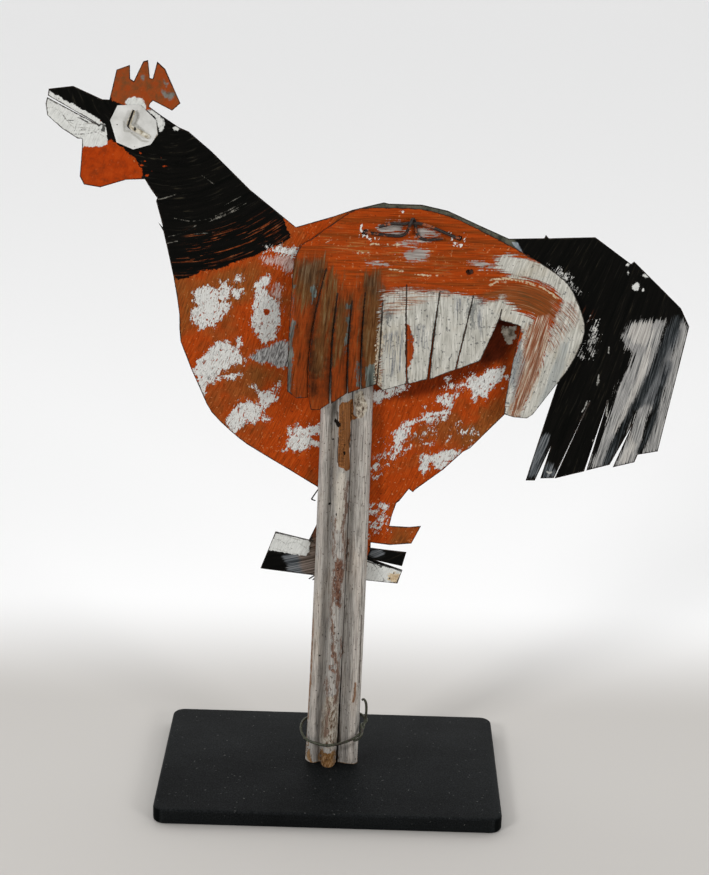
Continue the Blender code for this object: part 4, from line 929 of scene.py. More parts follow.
wingPaint = {
    "noises": {
        "cloud": ("place", 33.33, 3, 0.6),
        "mottle": ("place", 6.25, 3, 0.65),
        "grain": ("place", 1.923, 2, 0.6),
        "speck": ("place", 2.381, 1, 0.5),
        "streak": ("strokesA", (1.111, 25), 4, 0.65, 0.3),
        "band": ("strokesA", (4.167, 71.43), 3, 0.65, 0.4),
        "scratch": ("strokesB", (1, 29.41), 4, 0.65, 0.2),
        "sweep": ("strokesB", (3.846, 62.5), 3, 0.6, 0.3),
        "brush": ("strokesB", (1.923, 22.22), 4, 0.7, 0.4)},
    "relief": ("brush", 0.14), "bump": 1, "gloss": 0.035,
    "layers": {
        "orange enamel": dict(
            shade="streak", rough=0.48, build=0.12,
            colours={0.29: "#66290c", 0.41: "#93390d", 0.54: "#a6400f", 0.69: "#ae511b"}),
        "ochre drag": dict(
            field="ochre", ragged={"cloud": 16}, soft=8, streaks=("streak", 0.53, 0.62), shade="mottle", cover=0.75,
            colours={0.35: "#806034", 0.6: "#a5804c"}),
        "olive drag": dict(
            field="ochre", ragged={"cloud": 20}, soft=10, streaks=("streak", 0.4, 0.34), shade="mottle", cover=0.85,
            colours={0.35: "#4a4530", 0.5: "#6f5a34", 0.65: "#7d7862"}),
        **sheetSpecks,
        "brown drag": dict(
            streaks=("band", 0.45, 0.6), shade="streak", cover=0.7, colours={0.35: "#5d2b0d", 0.6: "#7c3e15"}),
        "brown turn": dict(
            field="oliveBrown", ragged={"band": 16, "streak": 14}, soft=6, shade="streak", cover=0.9,
            colours={0.34: "#4e4327", 0.46: "#743f1e", 0.58: "#8a4a22", 0.7: "#857656"}),
        "pleat browns": dict(
            field="pleats", ragged={"cloud": 14, "sweep": 14}, soft=12, shade="brush", rough=0.55, build=0.05,
            cover=0.92,
            colours={0.28: "#2b180c", 0.41: "#602e12", 0.54: "#873811", 0.66: "#8c4a20", 0.76: "#6f5a3c"}),
        "pleat olives": dict(
            field="olive", ragged={"brush": 26, "sweep": 22, "mottle": 8}, soft=9, shade="brush", rough=0.6,
            cover=0.85, colours={0.3: "#20190e", 0.41: "#47301a", 0.53: "#5d4123", 0.64: "#6b5c3e", 0.74: "#83796a"}),
        # painted shade: dark brown down the valleys between the pleats
        "painted shade in the folds": dict(
            field="pleatDark", ragged={"brush": 16, "mottle": 12}, soft=7, shade="brush", rough=0.6, cover=0.8,
            colours={0.35: "#140b06", 0.5: "#2f1a0d", 0.65: "#4d2a14"}),
        "smudged folds": dict(
            field="smudge", ragged={"brush": 14, "mottle": 10}, soft=9, shade="brush", rough=0.6, cover=0.6,
            colours={0.35: "#2b2319", 0.5: "#4d3b2a", 0.65: "#6a5a48"}),
        "bare blue metal": dict(
            field="greyBlue", ragged={"grain": 4, "mottle": 8, "brush": 9}, start=1, soft=1.6, shade="brush",
            rough=0.42, build=-0.05, cover=0.85, colours={0.35: "#2f3936", 0.5: "#4a5754", 0.65: "#74807c"}),
        "grey patches": dict(
            field="greyPatch", ragged={"streak": 18, "mottle": 8, "grain": 5}, start=0.6, soft=1.6, shade="streak",
            rough=0.45, build=-0.05, cover=0.9, colours={0.35: "#6c6d68", 0.5: "#969590", 0.65: "#b9b8b3"}),
        "white feathers": dict(
            field="white", ragged={"streak": 22, "band": 9, "grain": 4}, soft=1.6, shade="brush", rough=0.45,
            build=0.22, colours={0.28: "#76746b", 0.39: "#a3a198", 0.53: "#c0beb5", 0.68: "#d9d7cf"}),
        "cream wear": dict(
            streaks=("cloud", 0.5, 0.66), within="white feathers", shade="brush", cover=0.45,
            colours={0.35: "#a59a84", 0.65: "#c3baa6"}),
        "worn tip core": dict(
            field="core", ragged={"scratch": 16, "sweep": 10, "grain": 5}, soft=3, shade="scratch", rough=0.55,
            build=-0.1, colours={0.34: "#6b3a26", 0.45: "#8d5a40", 0.54: "#a07c66", 0.64: "#b9a592"}),
        "cream dragged over the core": dict(
            field="core", ragged={"cloud": 8}, start=-3, soft=3, streaks=("scratch", 0.5, 0.56), shade="brush",
            build=0.15, cover=0.92, colours={0.35: "#a08a76", 0.5: "#c2b19c", 0.65: "#d5cabb"}),
        "brown line in the tip": dict(
            field="coreLine", ragged={"scratch": 6, "mottle": 2}, soft=1.8, shade="scratch", rough=0.55, build=-0.05,
            cover=0.7, colours={0.35: "#4c2413", 0.6: "#7b4a32"}),
        # painted sheen: blue-grey light on the tip's edges
        "painted grey sheen at the tip": dict(
            field="tipSheen", ragged={"scratch": 12, "sweep": 8}, soft=4, shade="scratch", cover=0.6,
            colours={0.35: "#6d7678", 0.6: "#9aa0a0"}),
        "orange arcs": dict(
            field="orangeArc", ragged={"cloud": 12}, soft=6, streaks=("streak", 0.49, 0.54), shade="mottle",
            build=-0.05, cover=0.85, colours={0.35: "#6b3a22", 0.5: "#8d5638", 0.65: "#a48a74"}),
        "grey strokes": dict(
            field="greyStroke", ragged={"cloud": 8}, soft=4, streaks=("scratch", 0.49, 0.55), cover=0.85,
            colours={0.4: "#5c6168", 0.6: "#84878c"}),
        "worn through": dict(
            field="wear", ragged={"mottle": 14, "brush": 22, "grain": 5}, start=1.6, soft=1.2, shade="mottle",
            build=-0.1, cover=0.7, colours={0.35: "#2b3031", 0.55: "#565b5c", 0.7: "#83837e"}),
        "orange openings": dict(
            field="orange", ragged={"mottle": 4, "grain": 3}, soft=0.8, shade="scratch", build=-0.1,
            colours={0.35: "#6b2c12", 0.55: "#9a3f15", 0.7: "#a94a1c"}),
        "cream chips": dict(
            field="cream", ragged={"grain": 12, "mottle": 10}, start=-0.4, soft=1, build=0.1,
            colours={0.4: "#a8977f", 0.6: "#cdc0aa"}),
        "pale marks": dict(
            field="paleMark", ragged={"grain": 3, "streak": 5, "mottle": 3}, start=0.2, soft=0.5, rough=0.45,
            build=0.1, cover=0.9, colours={0.4: "#b08e66", 0.6: "#cdbb9c"}),
        # darkens the sheet in and round the wire and nail holes
        "dark in and round the holes": dict(
            field="hole", ragged={"grain": 2, "mottle": 3}, soft=0.9, shade="mottle", rough=0.6, build=-0.3,
            colours={0.4: "#120a06", 0.62: "#3a1c10"}),
        "white flecks": dict(
            field="flecks", ragged={"grain": 8, "mottle": 5}, start=0.4, soft=0.6, rough=0.45, build=0.15,
            colours={0.4: "#b9b6af", 0.6: "#dcdad4"}),
        "grime in the white": dict(
            streaks=("speck", 0.63, 0.72), within="white feathers", rough=0.6, cover=0.75,
            colours={0.4: "#3b3d40", 0.6: "#6c6d6c"}),
        "dark rim and painted edge shade": rimAndEdgeShade(-0.6)}}


wingShapes = {
    "white": [
        ("area", 33.5, 457.5, 44.5, 460, 53.5, 461, 62.5, 460, 83, 459, 93, 457.5, 111, 454.5, 121, 451, 130, 451.5,
         135, 454, 143, 450, 152.5, 441.5, 163, 439.5, 164, 436.5, 160.5, 430, 156, 423, 152, 428, 133.5, 433.5,
         123.5, 396.5, 78.5, 376.5, 35, 368.5, 32, 428.5),
        ("area", 128, 486.5, 139, 490, 153, 487.5, 169.5, 482.5, 185.5, 475, 197.5, 461.5, 211.5, 435, 209, 414,
         200, 390, 182, 370, 165, 346, 149.5, 345.5, 158.5, 363.5, 169, 388.5, 175.5, 415, 179.5, 432, 186.5, 452,
         179.5, 462, 165.5, 468, 146, 471.5, 137, 476, 129, 479.5),
        ("area", 154.5, 427, 159, 423.5, 155, 401.5, 151, 375, 149, 349.5, 140.5, 349, 142.5, 381, 147, 400.5)],
    "core": [
        ("area", 158.5, 430, 168, 435, 175, 436.5, 176, 415, 169.5, 388.5, 159.5, 362, 151.5, 349.5, 146.5, 350.5,
         150.5, 376, 154.5, 402.5)],
    "orange": [
        ("area", 152.5, 427.5, 155, 424.5, 149.5, 405, 145.5, 395.5, 144, 402, 147, 413.5),
        ("area", 54.5, 433, 59, 429.5, 62, 419, 62.5, 407, 60, 396.5, 56.5, 388.5)],
    "oliveBrown": [
        ("area", 138.5, 465.5, 159, 465.5, 178.5, 459.5, 184.5, 453.5, 179, 442, 174.5, 434, 165.5, 436.5, 160, 441.5,
         151, 443, 140.5, 451, 129, 454, 121, 457.5)],
    "paleMark": [
        ("line", 1.7, 125.5, 469.5, 141, 470.5, 159, 467, 172, 462.5, 183.5, 454.5),
        ("line", 1, 125, 465, 129.5, 467.5, 138.5, 467),
        ("line", 0.9, 61.5, 472.5, 81, 471.5),
        ("line", 0.9, 31.5, 477, 50.5, 475),
        ("line", 1.1, 8.5, 489, 22.5, 488.5),
        ("line", 1.2, 22.5, 496, 48, 496.5),
        ("line", 0.8, 31, 496, 46, 495),
        ("line", 0.7, -15.5, 495.5, -8.5, 499.5)],
    "ochre": [
        ("area", -18, 500.5, -0.5, 513, 13, 498, 47.5, 499, 48.5, 475, 18.5, 474, 13, 485.5, -14.5, 491.5),
        ("area", 31, 499.5, 53.5, 499, 74, 494.5, 97.5, 480.5, 91.5, 469.5, 32, 469),
        ("area", 52.5, 524.5, 83, 518, 72, 516, 60.5, 519.5),
        ("area", 107, 495.5, 127, 495, 140, 487.5, 125, 486, 112, 489.5)],
    "greyPatch": [
        ("area", 50, 489, 61.5, 495, 71.5, 491, 70.5, 484.5, 59, 483, 51.5, 485),
        ("area", 42.5, 497.5, 73.5, 503, 72.5, 500, 46, 494.5),
        ("area", 106.5, 483.5, 119, 484.5, 128.5, 481, 128, 478.5, 117.5, 478.5),
        ("area", 40.5, 506.5, 54.5, 510.5, 56, 507, 43.5, 504.5),
        ("area", 61.5, 511.5, 72, 510, 82.5, 504.5, 62.5, 504),
        ("area", 26.5, 509.5, 35, 514, 49, 516, 49, 507, 31.5, 506.5),
        ("area", 20.5, 481.5, 30, 483, 42, 479.5, 35, 477.5, 24, 479.5)],
    "flecks": [
        ("spots", 15, 508, 1.2, 2.7, 17.5, 503, 2.7, 1.2, 22, 506.5, 2.9, 1, 26.5, 501.5, 2.2, 1.2, 22, 500.5, 1.5, 1,
         44, 488.5, 1, 1, 88.5, 507, 1.8, 1.6, 102, 502.5, 0.8, 3.4, 99, 497.5, 3.1, 1, 94, 498.5, 2.9, 1,
         91.5, 501.5, 1, 1.6, 49.5, 524.5, 1, 0.9)],
    "pleats": [
        ("area", -42.5, 484, -23.5, 487, -14, 481.5, -2.5, 466, 9, 463, 18.5, 473, 29, 475, 36, 464, 36.5, 435,
         34.5, 375, -4.5, 359, -27, 350.5, -48, 368.5, -44, 421.5)],
    "olive": [
        ("area", -40, 480, -18.5, 482.5, -15.5, 472, -23.5, 450.5, -34, 446, -40, 456.5),
        ("area", -14, 477.5, -2, 472.5, -4, 446.5, -15, 387, -23, 392, -18.5, 446),
        ("area", 18.5, 473, 29, 474, 35.5, 435, 34, 373.5, 20.5, 373.5, 18.5, 435.5),
        ("area", -4.5, 451.5, 7, 452.5, 5.5, 423, -3, 398.5, -6, 434.5)],
    "greyBlue": [
        ("area", -43, 436.5, -37.5, 434.5, -39.5, 410, -40, 369, -29, 368, -25, 365, -36, 361, -47.5, 368.5,
         -45, 409.5),
        ("area", 3.5, 449.5, 8.5, 449.5, 8, 435.5, 5, 404.5, 3, 405, 4.5, 429.5),
        ("area", 13.5, 401.5, 17.5, 401, 18, 375.5, 14, 379),
        ("area", 20.5, 395.5, 31, 400, 32, 375, 22.5, 372),
        ("area", -27, 462, -21, 462, -23.5, 449, -26.5, 447),
        ("area", -41, 462.5, -39.5, 463, -39, 439, -42, 438.5)],
    "cream": [
        ("line", 2.7, 34, 428, 32.5, 411, 32, 398.5, 33.5, 376)],
    "greyStroke": [
        ("area", 37, 422, 53.5, 426.5, 54, 393.5, 42, 383),
        ("area", 62, 430.5, 75.5, 431, 74.5, 408.5, 63.5, 412.5),
        ("area", 94.5, 455, 103.5, 452.5, 101.5, 432.5, 96.5, 437.5),
        ("area", 113.5, 454, 120, 452.5, 120, 420.5, 114.5, 432.5),
        ("area", 152, 419, 156, 419.5, 150, 382.5, 146, 361.5, 144, 377, 148, 401)],
    "orangeArc": [
        ("area", 33.5, 459.5, 53.5, 462.5, 82.5, 461, 93, 457.5, 85.5, 453.5, 64, 454.5, 54, 449.5, 35, 440.5),
        ("area", 176, 454.5, 186.5, 453.5, 195.5, 451, 198.5, 441, 191.5, 428, 182.5, 428, 175.5, 434),
        ("area", 179.5, 454.5, 198, 448.5, 201, 436.5, 189.5, 417.5, 178.5, 409, 175.5, 419.5, 182, 436),
        ("area", 36, 459, 56, 460, 78.5, 459, 81, 451.5, 56.5, 444, 36.5, 437.5)],
    "pleatDark": [
        ("area", -21, 473, -15, 475, -20.5, 453, -21.5, 432.5, -21.5, 408, -17.5, 370.5, -24.5, 369.5, -27, 394.5,
         -27, 420, -25, 450),
        ("area", -12, 398, -8.5, 413, -7.5, 369.5, -11.5, 367.5),
        ("line", 1.7, -5, 444.5, -6.5, 421, -8, 395, -8, 372),
        ("line", 1.5, 8, 453, 7, 427, 6.5, 402, 6.5, 373),
        ("line", 2.2, 20, 463, 18, 433.5, 17.5, 408.5, 18.5, 377),
        ("line", 2.7, 34, 458.5, 36, 437.5)],
    "smudge": [
        ("area", -36, 480, -23, 482.5, -17, 479.5, -22.5, 464, -29.5, 462, -38, 470.5),
        ("area", 19.5, 473, 29.5, 472, 35.5, 454, 27.5, 457, 21, 463)],
    "coreLine": [
        ("line", 1.9, 171, 421.5, 168.5, 403, 163.5, 383.5, 158.5, 371, 154, 359)],
    "tipSheen": [
        ("area", 148.5, 410, 153.5, 413.5, 158.5, 398.5, 152.5, 377, 149, 364, 146, 385),
        ("area", 189.5, 415.5, 195.5, 420, 192.5, 394.5, 180, 366.5, 171.5, 360, 178.5, 386)],
    "wear": [
        ("area", 35.5, 446, 45.5, 443.5, 43, 434, 36, 430.5),
        ("area", 106.5, 451.5, 117.5, 452, 112.5, 427, 109, 418.5)],
    "hole": [
        ("spots", 17.5, 504.5, 2.4, 2.04, 98, 503.5, 2.6, 2.21, 106.5, 475.5, 2.5, 2.2)]}


def wingWeights(x, z):  # the pleats, left of x 40 and below z 477, keep most of their ribs
    return 1 - 0.85 * easeStep(484, 470, z) * easeStep(46, 34, x)


paintedSheet("wing", "wingTin", wingShapes, wingStrokes, wingPaint, "brushed enamel on tinplate, wing", wingWeights,
             evenly)


# Eye disc: an eight-sided snip of tin in thick white enamel, the smoothest and shiniest paint of the piece

discShapes = {
    "shade": [
        ("line", 1.6, -184.5, 593.5, -184, 586, -179.5, 585.5, -169.5, 578, -164.5, 577.5),
        ("line", 2, -173.5, 602.5, -172.5, 597.5, -175, 592, -168, 586)],
    "dark": [
        ("spots", -190, 591, 0.6, 0.6, -165, 582, 0.9, 1.3, -176, 573, 0.4, 0.4)],
    "edgeDirt": [
        ("line", 0.7, -156.6, 594, -156.8, 584, -161.5, 575, -169, 571.5)]}


discPaint = {
    "noises": {
        "cloud": ("place", 16.67, 4, 0.6),
        "mottle": ("place", 3.846, 4, 0.6),
        "grain": ("place", 1.111, 3, 0.6),
        "brush": ("place", (7.143, 7.143, 1.429), 3, 0.6, 0.5)},
    "relief": ("brush", 0.14), "bump": 0.7, "gloss": 0.25,
    "layers": {
        "white enamel": dict(
            shade="cloud", rough=0.36, build=0.1, colours={0.35: "#c3c3bf", 0.55: "#d8d8d5", 0.7: "#e2e2df"}),
        "grey shade": dict(
            field="shade", ragged={"mottle": 1.6}, soft=1.2, cover=0.6, colours={0.4: "#77756e", 0.6: "#a5a39b"}),
        "edge dirt": dict(
            field="edgeDirt", ragged={"grain": 1.4, "mottle": 1.4}, soft=0.5, rough=0.6, cover=0.8,
            colours={0.4: "#5d4a35", 0.6: "#8d7b60"}),
        "dark spots": dict(
            field="dark", ragged={"grain": 0.6}, soft=0.4, rough=0.6, build=-0.1,
            colours={0.4: "#17130f", 0.6: "#332a22"})}}


disc = copyNode("eye_disc", "eyeDisc")
refine(disc, 1 * mm, 5)
drawShapes(disc, discShapes)
disc.data.materials.append(paintLayers("thick white enamel on tin", discPaint))
finishPiece(disc, "eye_disc", sheetLook["smoothAngle"])


# Wires: soft iron, bent by hand. Old iron is dark with a weak metal shine, and its rust or paint is matt.

wireLooks = {
    "iron wire, some orange paint": {  # dark iron with dull orange on it, as on the wing
        "colours": {0.35: "#110c0a", 0.55: "#241a15", 0.7: "#463830"}, "rust": {0.4: "#7a3413", 0.6: "#99501f"},
        "rustStart": 0.54, "metal": 0.2, "rough": 0.5},
    "dull galvanised wire": {  # greenish grey zinc, dirty in its hollows
        "colours": {0.35: "#26271e", 0.55: "#414334", 0.7: "#686a56"}, "rust": {0.4: "#1b1712", 0.6: "#3a2e22"},
        "rustStart": 0.54, "metal": 0.3, "rough": 0.45},
    "thin blackened wire": {  # near black, without a shine
        "colours": {0.35: "#080706", 0.65: "#171412"}, "rust": {0.4: "#2a1a11", 0.6: "#402718"},
        "rustStart": 0.6, "metal": 0.1, "rough": 0.6}}
wireFinish = {"cloud": (5.882, 4, 0.6), "grain": (0.9091, 3, 0.6), "rustSoft": 0.06, "height": 0.2 * mm, "bump": 0.6,
              "smoothAngle": 60}
roundWires = [  # node, name, material, how much fuller in mm, as rounding thins it
    ("wing_tie_wire", "tieWire", "iron wire, some orange paint", 0.3),
    ("foot_ring_wire", "ringWire", "dull galvanised wire", 0.28),
    ("belly_wire", "bellyWire", "thin blackened wire", 0.32),
    ("foot_wire", "footWire", "thin blackened wire", 0.32)]


def ironWire(name, look):
    material, tree, shader, place = newMaterial(name)
    cloud, grain = (noiseOf(tree, place, *wireFinish[key]) for key in ("cloud", "grain"))
    rust = spread(tree, cloud, look["rustStart"], look["rustStart"] + wireFinish["rustSoft"])
    colour = blend(tree, rust, rampOf(tree, grain, look["colours"]), rampOf(tree, grain, look["rust"]))
    height = reckon(tree, "MULTIPLY", grain, wireFinish["height"])
    feed(tree, shader, {"Base Color": colour, "Metallic": spread(tree, rust, 0, 1, look["metal"], 0),
                        "Normal": reliefOf(tree, height, wireFinish["bump"]), "Roughness": look["rough"]})
    return material


def roundWire(node, name, material, fuller, levels=1, shapes=None):  # a rounded copy, filled out again
    piece = copyNode(node, name)
    addModifier(piece, "DISPLACE", strength=fuller * mm, mid_level=0)
    addModifier(piece, "SUBSURF", levels=levels, render_levels=levels)
    applyModifiers(piece)
    drawShapes(piece, shapes or {})
    piece.data.materials.append(material)
    finishPiece(piece, node, wireFinish["smoothAngle"])


wireMaterials = {name: ironWire(name, look) for name, look in wireLooks.items()}
for node, name, material, fuller in roundWires:
    roundWire(node, name, wireMaterials[material], fuller)


# The eye's wire was painted with the disc: chalky white enamel, and its raised end has worn to black iron

eyeWireShapes = {
    "bare": [
        ("line", 1.9, -175.5, 605, -181, 590),
        ("line", 2.4, -181, 590, -179, 585.5),
        ("spots", -175, 588, 1, 1.6, -171.5, 582, 0.7, 0.7)]}


eyeWirePaint = {
    "noises": {
        "mottle": ("place", 3.333, 4, 0.6),
        "grain": ("place", 1.111, 3, 0.6)},
    "relief": ("mottle", 0.2), "bump": 0.7, "gloss": 0.15,
    "layers": {
        "white enamel on wire": dict(
            shade="mottle", rough=0.45, build=0.1, colours={0.38: "#948a74", 0.5: "#c9c2b0", 0.62: "#dedbd0"}),
        "bare iron": dict(
            field="bare", ragged={"grain": 0.8, "mottle": 1.6}, soft=0.35, build=-0.1,
            colours={0.4: "#0d0c0b", 0.65: "#2b2622"})}}


roundWire("eye_wire", "eyeWire", paintLayers("enamelled wire, worn", eyeWirePaint), 0.9, 2, eyeWireShapes)


# Nails: brown steel with a dull metal edge. The wing's own is dabbed over with orange paint.

nailLooks = {"painted nail head": {0.4: "#170c08", 0.55: "#3a1b0e", 0.7: "#6d3517"},
             "brown rusted nail": {0.38: "#2c211c", 0.5: "#4b352a", 0.65: "#6e5443"}}
nailFinish = {"grain": (1.429, 4, 0.65), "height": 0.15 * mm, "bump": 0.6, "rough": 0.5, "metal": 0.35,
              "bevel": 0.15 * mm, "bevelSteps": 2, "bevelAngle": 40, "smoothAngle": 50}
nails = [("wing_nail", "wingNail", "painted nail head"), ("sheet_nail_top", "topNail", "brown rusted nail"),
         ("sheet_nail_middle", "middleNail", "brown rusted nail"), ("sheet_nail_foot", "footNail", "brown rusted nail")]


def nailSteel(name, stops, look):
    material, tree, shader, place = newMaterial(name)
    grain = noiseOf(tree, place, *look["grain"])
    height = reckon(tree, "MULTIPLY", grain, look["height"])
    feed(tree, shader, {"Base Color": rampOf(tree, grain, stops), "Normal": reliefOf(tree, height, look["bump"]),
                        "Roughness": look["rough"], "Metallic": look["metal"]})
    return material


nailMaterials = {name: nailSteel(name, stops, nailFinish) for name, stops in nailLooks.items()}
for node, name, material in nails:
    nail = copyNode(node, name)
    nail.data.materials.append(nailMaterials[material])
    addModifier(nail, "BEVEL", width=nailFinish["bevel"], segments=nailFinish["bevelSteps"], limit_method="ANGLE",
                angle_limit=math.radians(nailFinish["bevelAngle"]))
    applyModifiers(nail)
    finishPiece(nail, node, nailFinish["smoothAngle"])


# Post: an old moulding. Its matt grey-white paint is worn through to brown pine that shows its grain.

postShapes = {
    "bare": [
        ("area", 0, 359, 2.5, 362.5, 11.5, 362, 12.5, 355, 12, 344.5, 10.5, 341.5, 11, 324.5, 10, 320.5, 11, 299.5,
         10.5, 297.5, 7, 300, 6, 302.5, 1, 303.5, 0, 307, 0, 325, 0, 337.5, 0, 352),
        ("area", 11.5, 348.5, 15.5, 346, 17, 345.5, 13.5, 343.5, 11.5, 343.5)],
    "darkEdge": [
        ("line", 1.2, -1.5, 352.5, -1, 343.5),
        ("line", 0.9, 0, 330, -0.5, 318, 0, 307),
        ("line", 0.8, 11, 330.5, 10, 325, 10.5, 318.5),
        ("line", 1.1, 7.5, 70, 7.5, 53.5, 8, 34.5),
        ("line", 1.2, 6, 26, 7, 17.5),
        ("line", 0.9, 25, 161.5, 25, 139.5, 25, 95)],
    "hole": [
        ("spots", -1, 342, 2.5, 2.9, 6.5, 316, 1.4, 1.7, 7, 324, 0.6, 1.6)],
    "dot": [
        ("spots", -4, 325.5, 0.9, 0.9, -4, 307, 0.7, 0.7, 14.5, 305, 0.8, 0.8, -6, 266, 1.2, 1.2, 27, 311.5, 0.7, 0.9,
         26, 361, 0.8, 0.8, 14.5, 225.5, 0.7, 0.7, 16, 241, 0.7, 0.7, -8, 258.5, 0.6, 0.6, 0, 259.5, 0.6, 1.7),
        ("spots", -11.5, 121.5, 1.2, 0.9, 12.5, 202, 1, 0.6, -14, 87, 0.6, 0.6, 1.5, 153.5, 0.7, 1, 5, 146.5, 0.6, 1,
         -3, 53.5, 0.7, 0.7)],
    "crackle": [
        ("area", 13, 367, 19.5, 370.5, 25, 357, 21.5, 347, 15.5, 345, 13.5, 355)],
    "wornBead": [
        ("line", 2.5, 9.5, 287, 8.5, 277, 9.5, 263, 7, 252, 5.5, 243.5, 8.5, 232.5, 10, 214),
        ("line", 1.7, -1, 257, -2, 236, -0.5, 218),
        ("line", 3.2, 2.5, 217.5, 0, 197.5, -2, 172.5, -1, 154.5, 0.5, 131.5, 6, 108.5, 5.5, 91, 4, 79.5),
        ("line", 2.7, -4.5, 100, -4.5, 83.5, -1.5, 73.5, -4.5, 58.5, -5.5, 44)],
    "paleBead": [
        ("area", 1, 300, 7.5, 297.5, 8.5, 265, 4.5, 245.5, 0, 245.5, -1.5, 285.5)],
    # lines down the coves, for grime and painted shade
    "grime": [
        ("line", 3.5, -7.5, 310, -9, 283.5, -9.5, 252.5, -9.5, 214.5),
        ("line", 3.9, 15.5, 342, 15.5, 304.5, 15.5, 273.5, 14, 242, 14, 214.5),
        ("line", 2.1, -5, 354.5, -7.5, 332.5, -7, 310),
        ("line", 4.1, -9.5, 213.5, -10, 160, -11, 105, -12, 63, -13.5, 18),
        ("line", 4.9, 14, 214, 14.5, 160, 14, 105.5, 13, 52.5, 13.5, 15.5)],
    "light": [
        ("line", 2.5, -13, 350.5, -12.5, 303.5, -13, 252, -13, 214.5),
        ("line", 3.5, 23.5, 343, 23.5, 295, 23.5, 253.5, 24, 216),
        ("line", 3.7, -14.5, 213, -15, 146, -16.5, 77, -17, 42),
        ("line", 4.9, 21.5, 215, 21.5, 147.5, 20.5, 78.5, 19, 22)],
    "wornPatch": [
        ("area", -1, 218.5, 8, 217, 9.5, 205.5, 7.5, 189, 8, 168.5, 1.5, 173, -0.5, 177.5, 0, 191, -1.5, 202),
        ("area", -3.5, 169, 0.5, 170, 0.5, 167, -3.5, 164),
        ("area", 5.5, 140, 9, 134.5, 9, 124, 7.5, 119, 6, 130),
        ("area", -3.5, 117, 1.5, 116.5, 4.5, 110.5, 2.5, 108.5, -3, 109.5),
        ("area", -3.5, 128, 1, 129, 1.5, 123.5, -2.5, 122.5)],
    "footBare": [
        ("area", -9, 29, 5.5, 30, 5.5, 14.5, 3, 13, -8.5, 12.5, -10, 17),
        ("area", -22, 36, -20.5, 34.5, -18.5, 20.5, -14.5, 15, -18, 14.5, -22, 18)],
    "roughBead": [
        ("area", -5, 85, 6.5, 86, 7.5, 50.5, 7, 32.5, -8.5, 34, -8.5, 55.5)],
    "brownEdge": [
        ("line", 1.7, -19.5, 92, -21, 82.5, -21.5, 56),
        ("line", 1, -18.5, 155, -19, 125, -19.5, 92),
        ("line", 2, 21, 95.5, 21, 84, 20, 77)]}


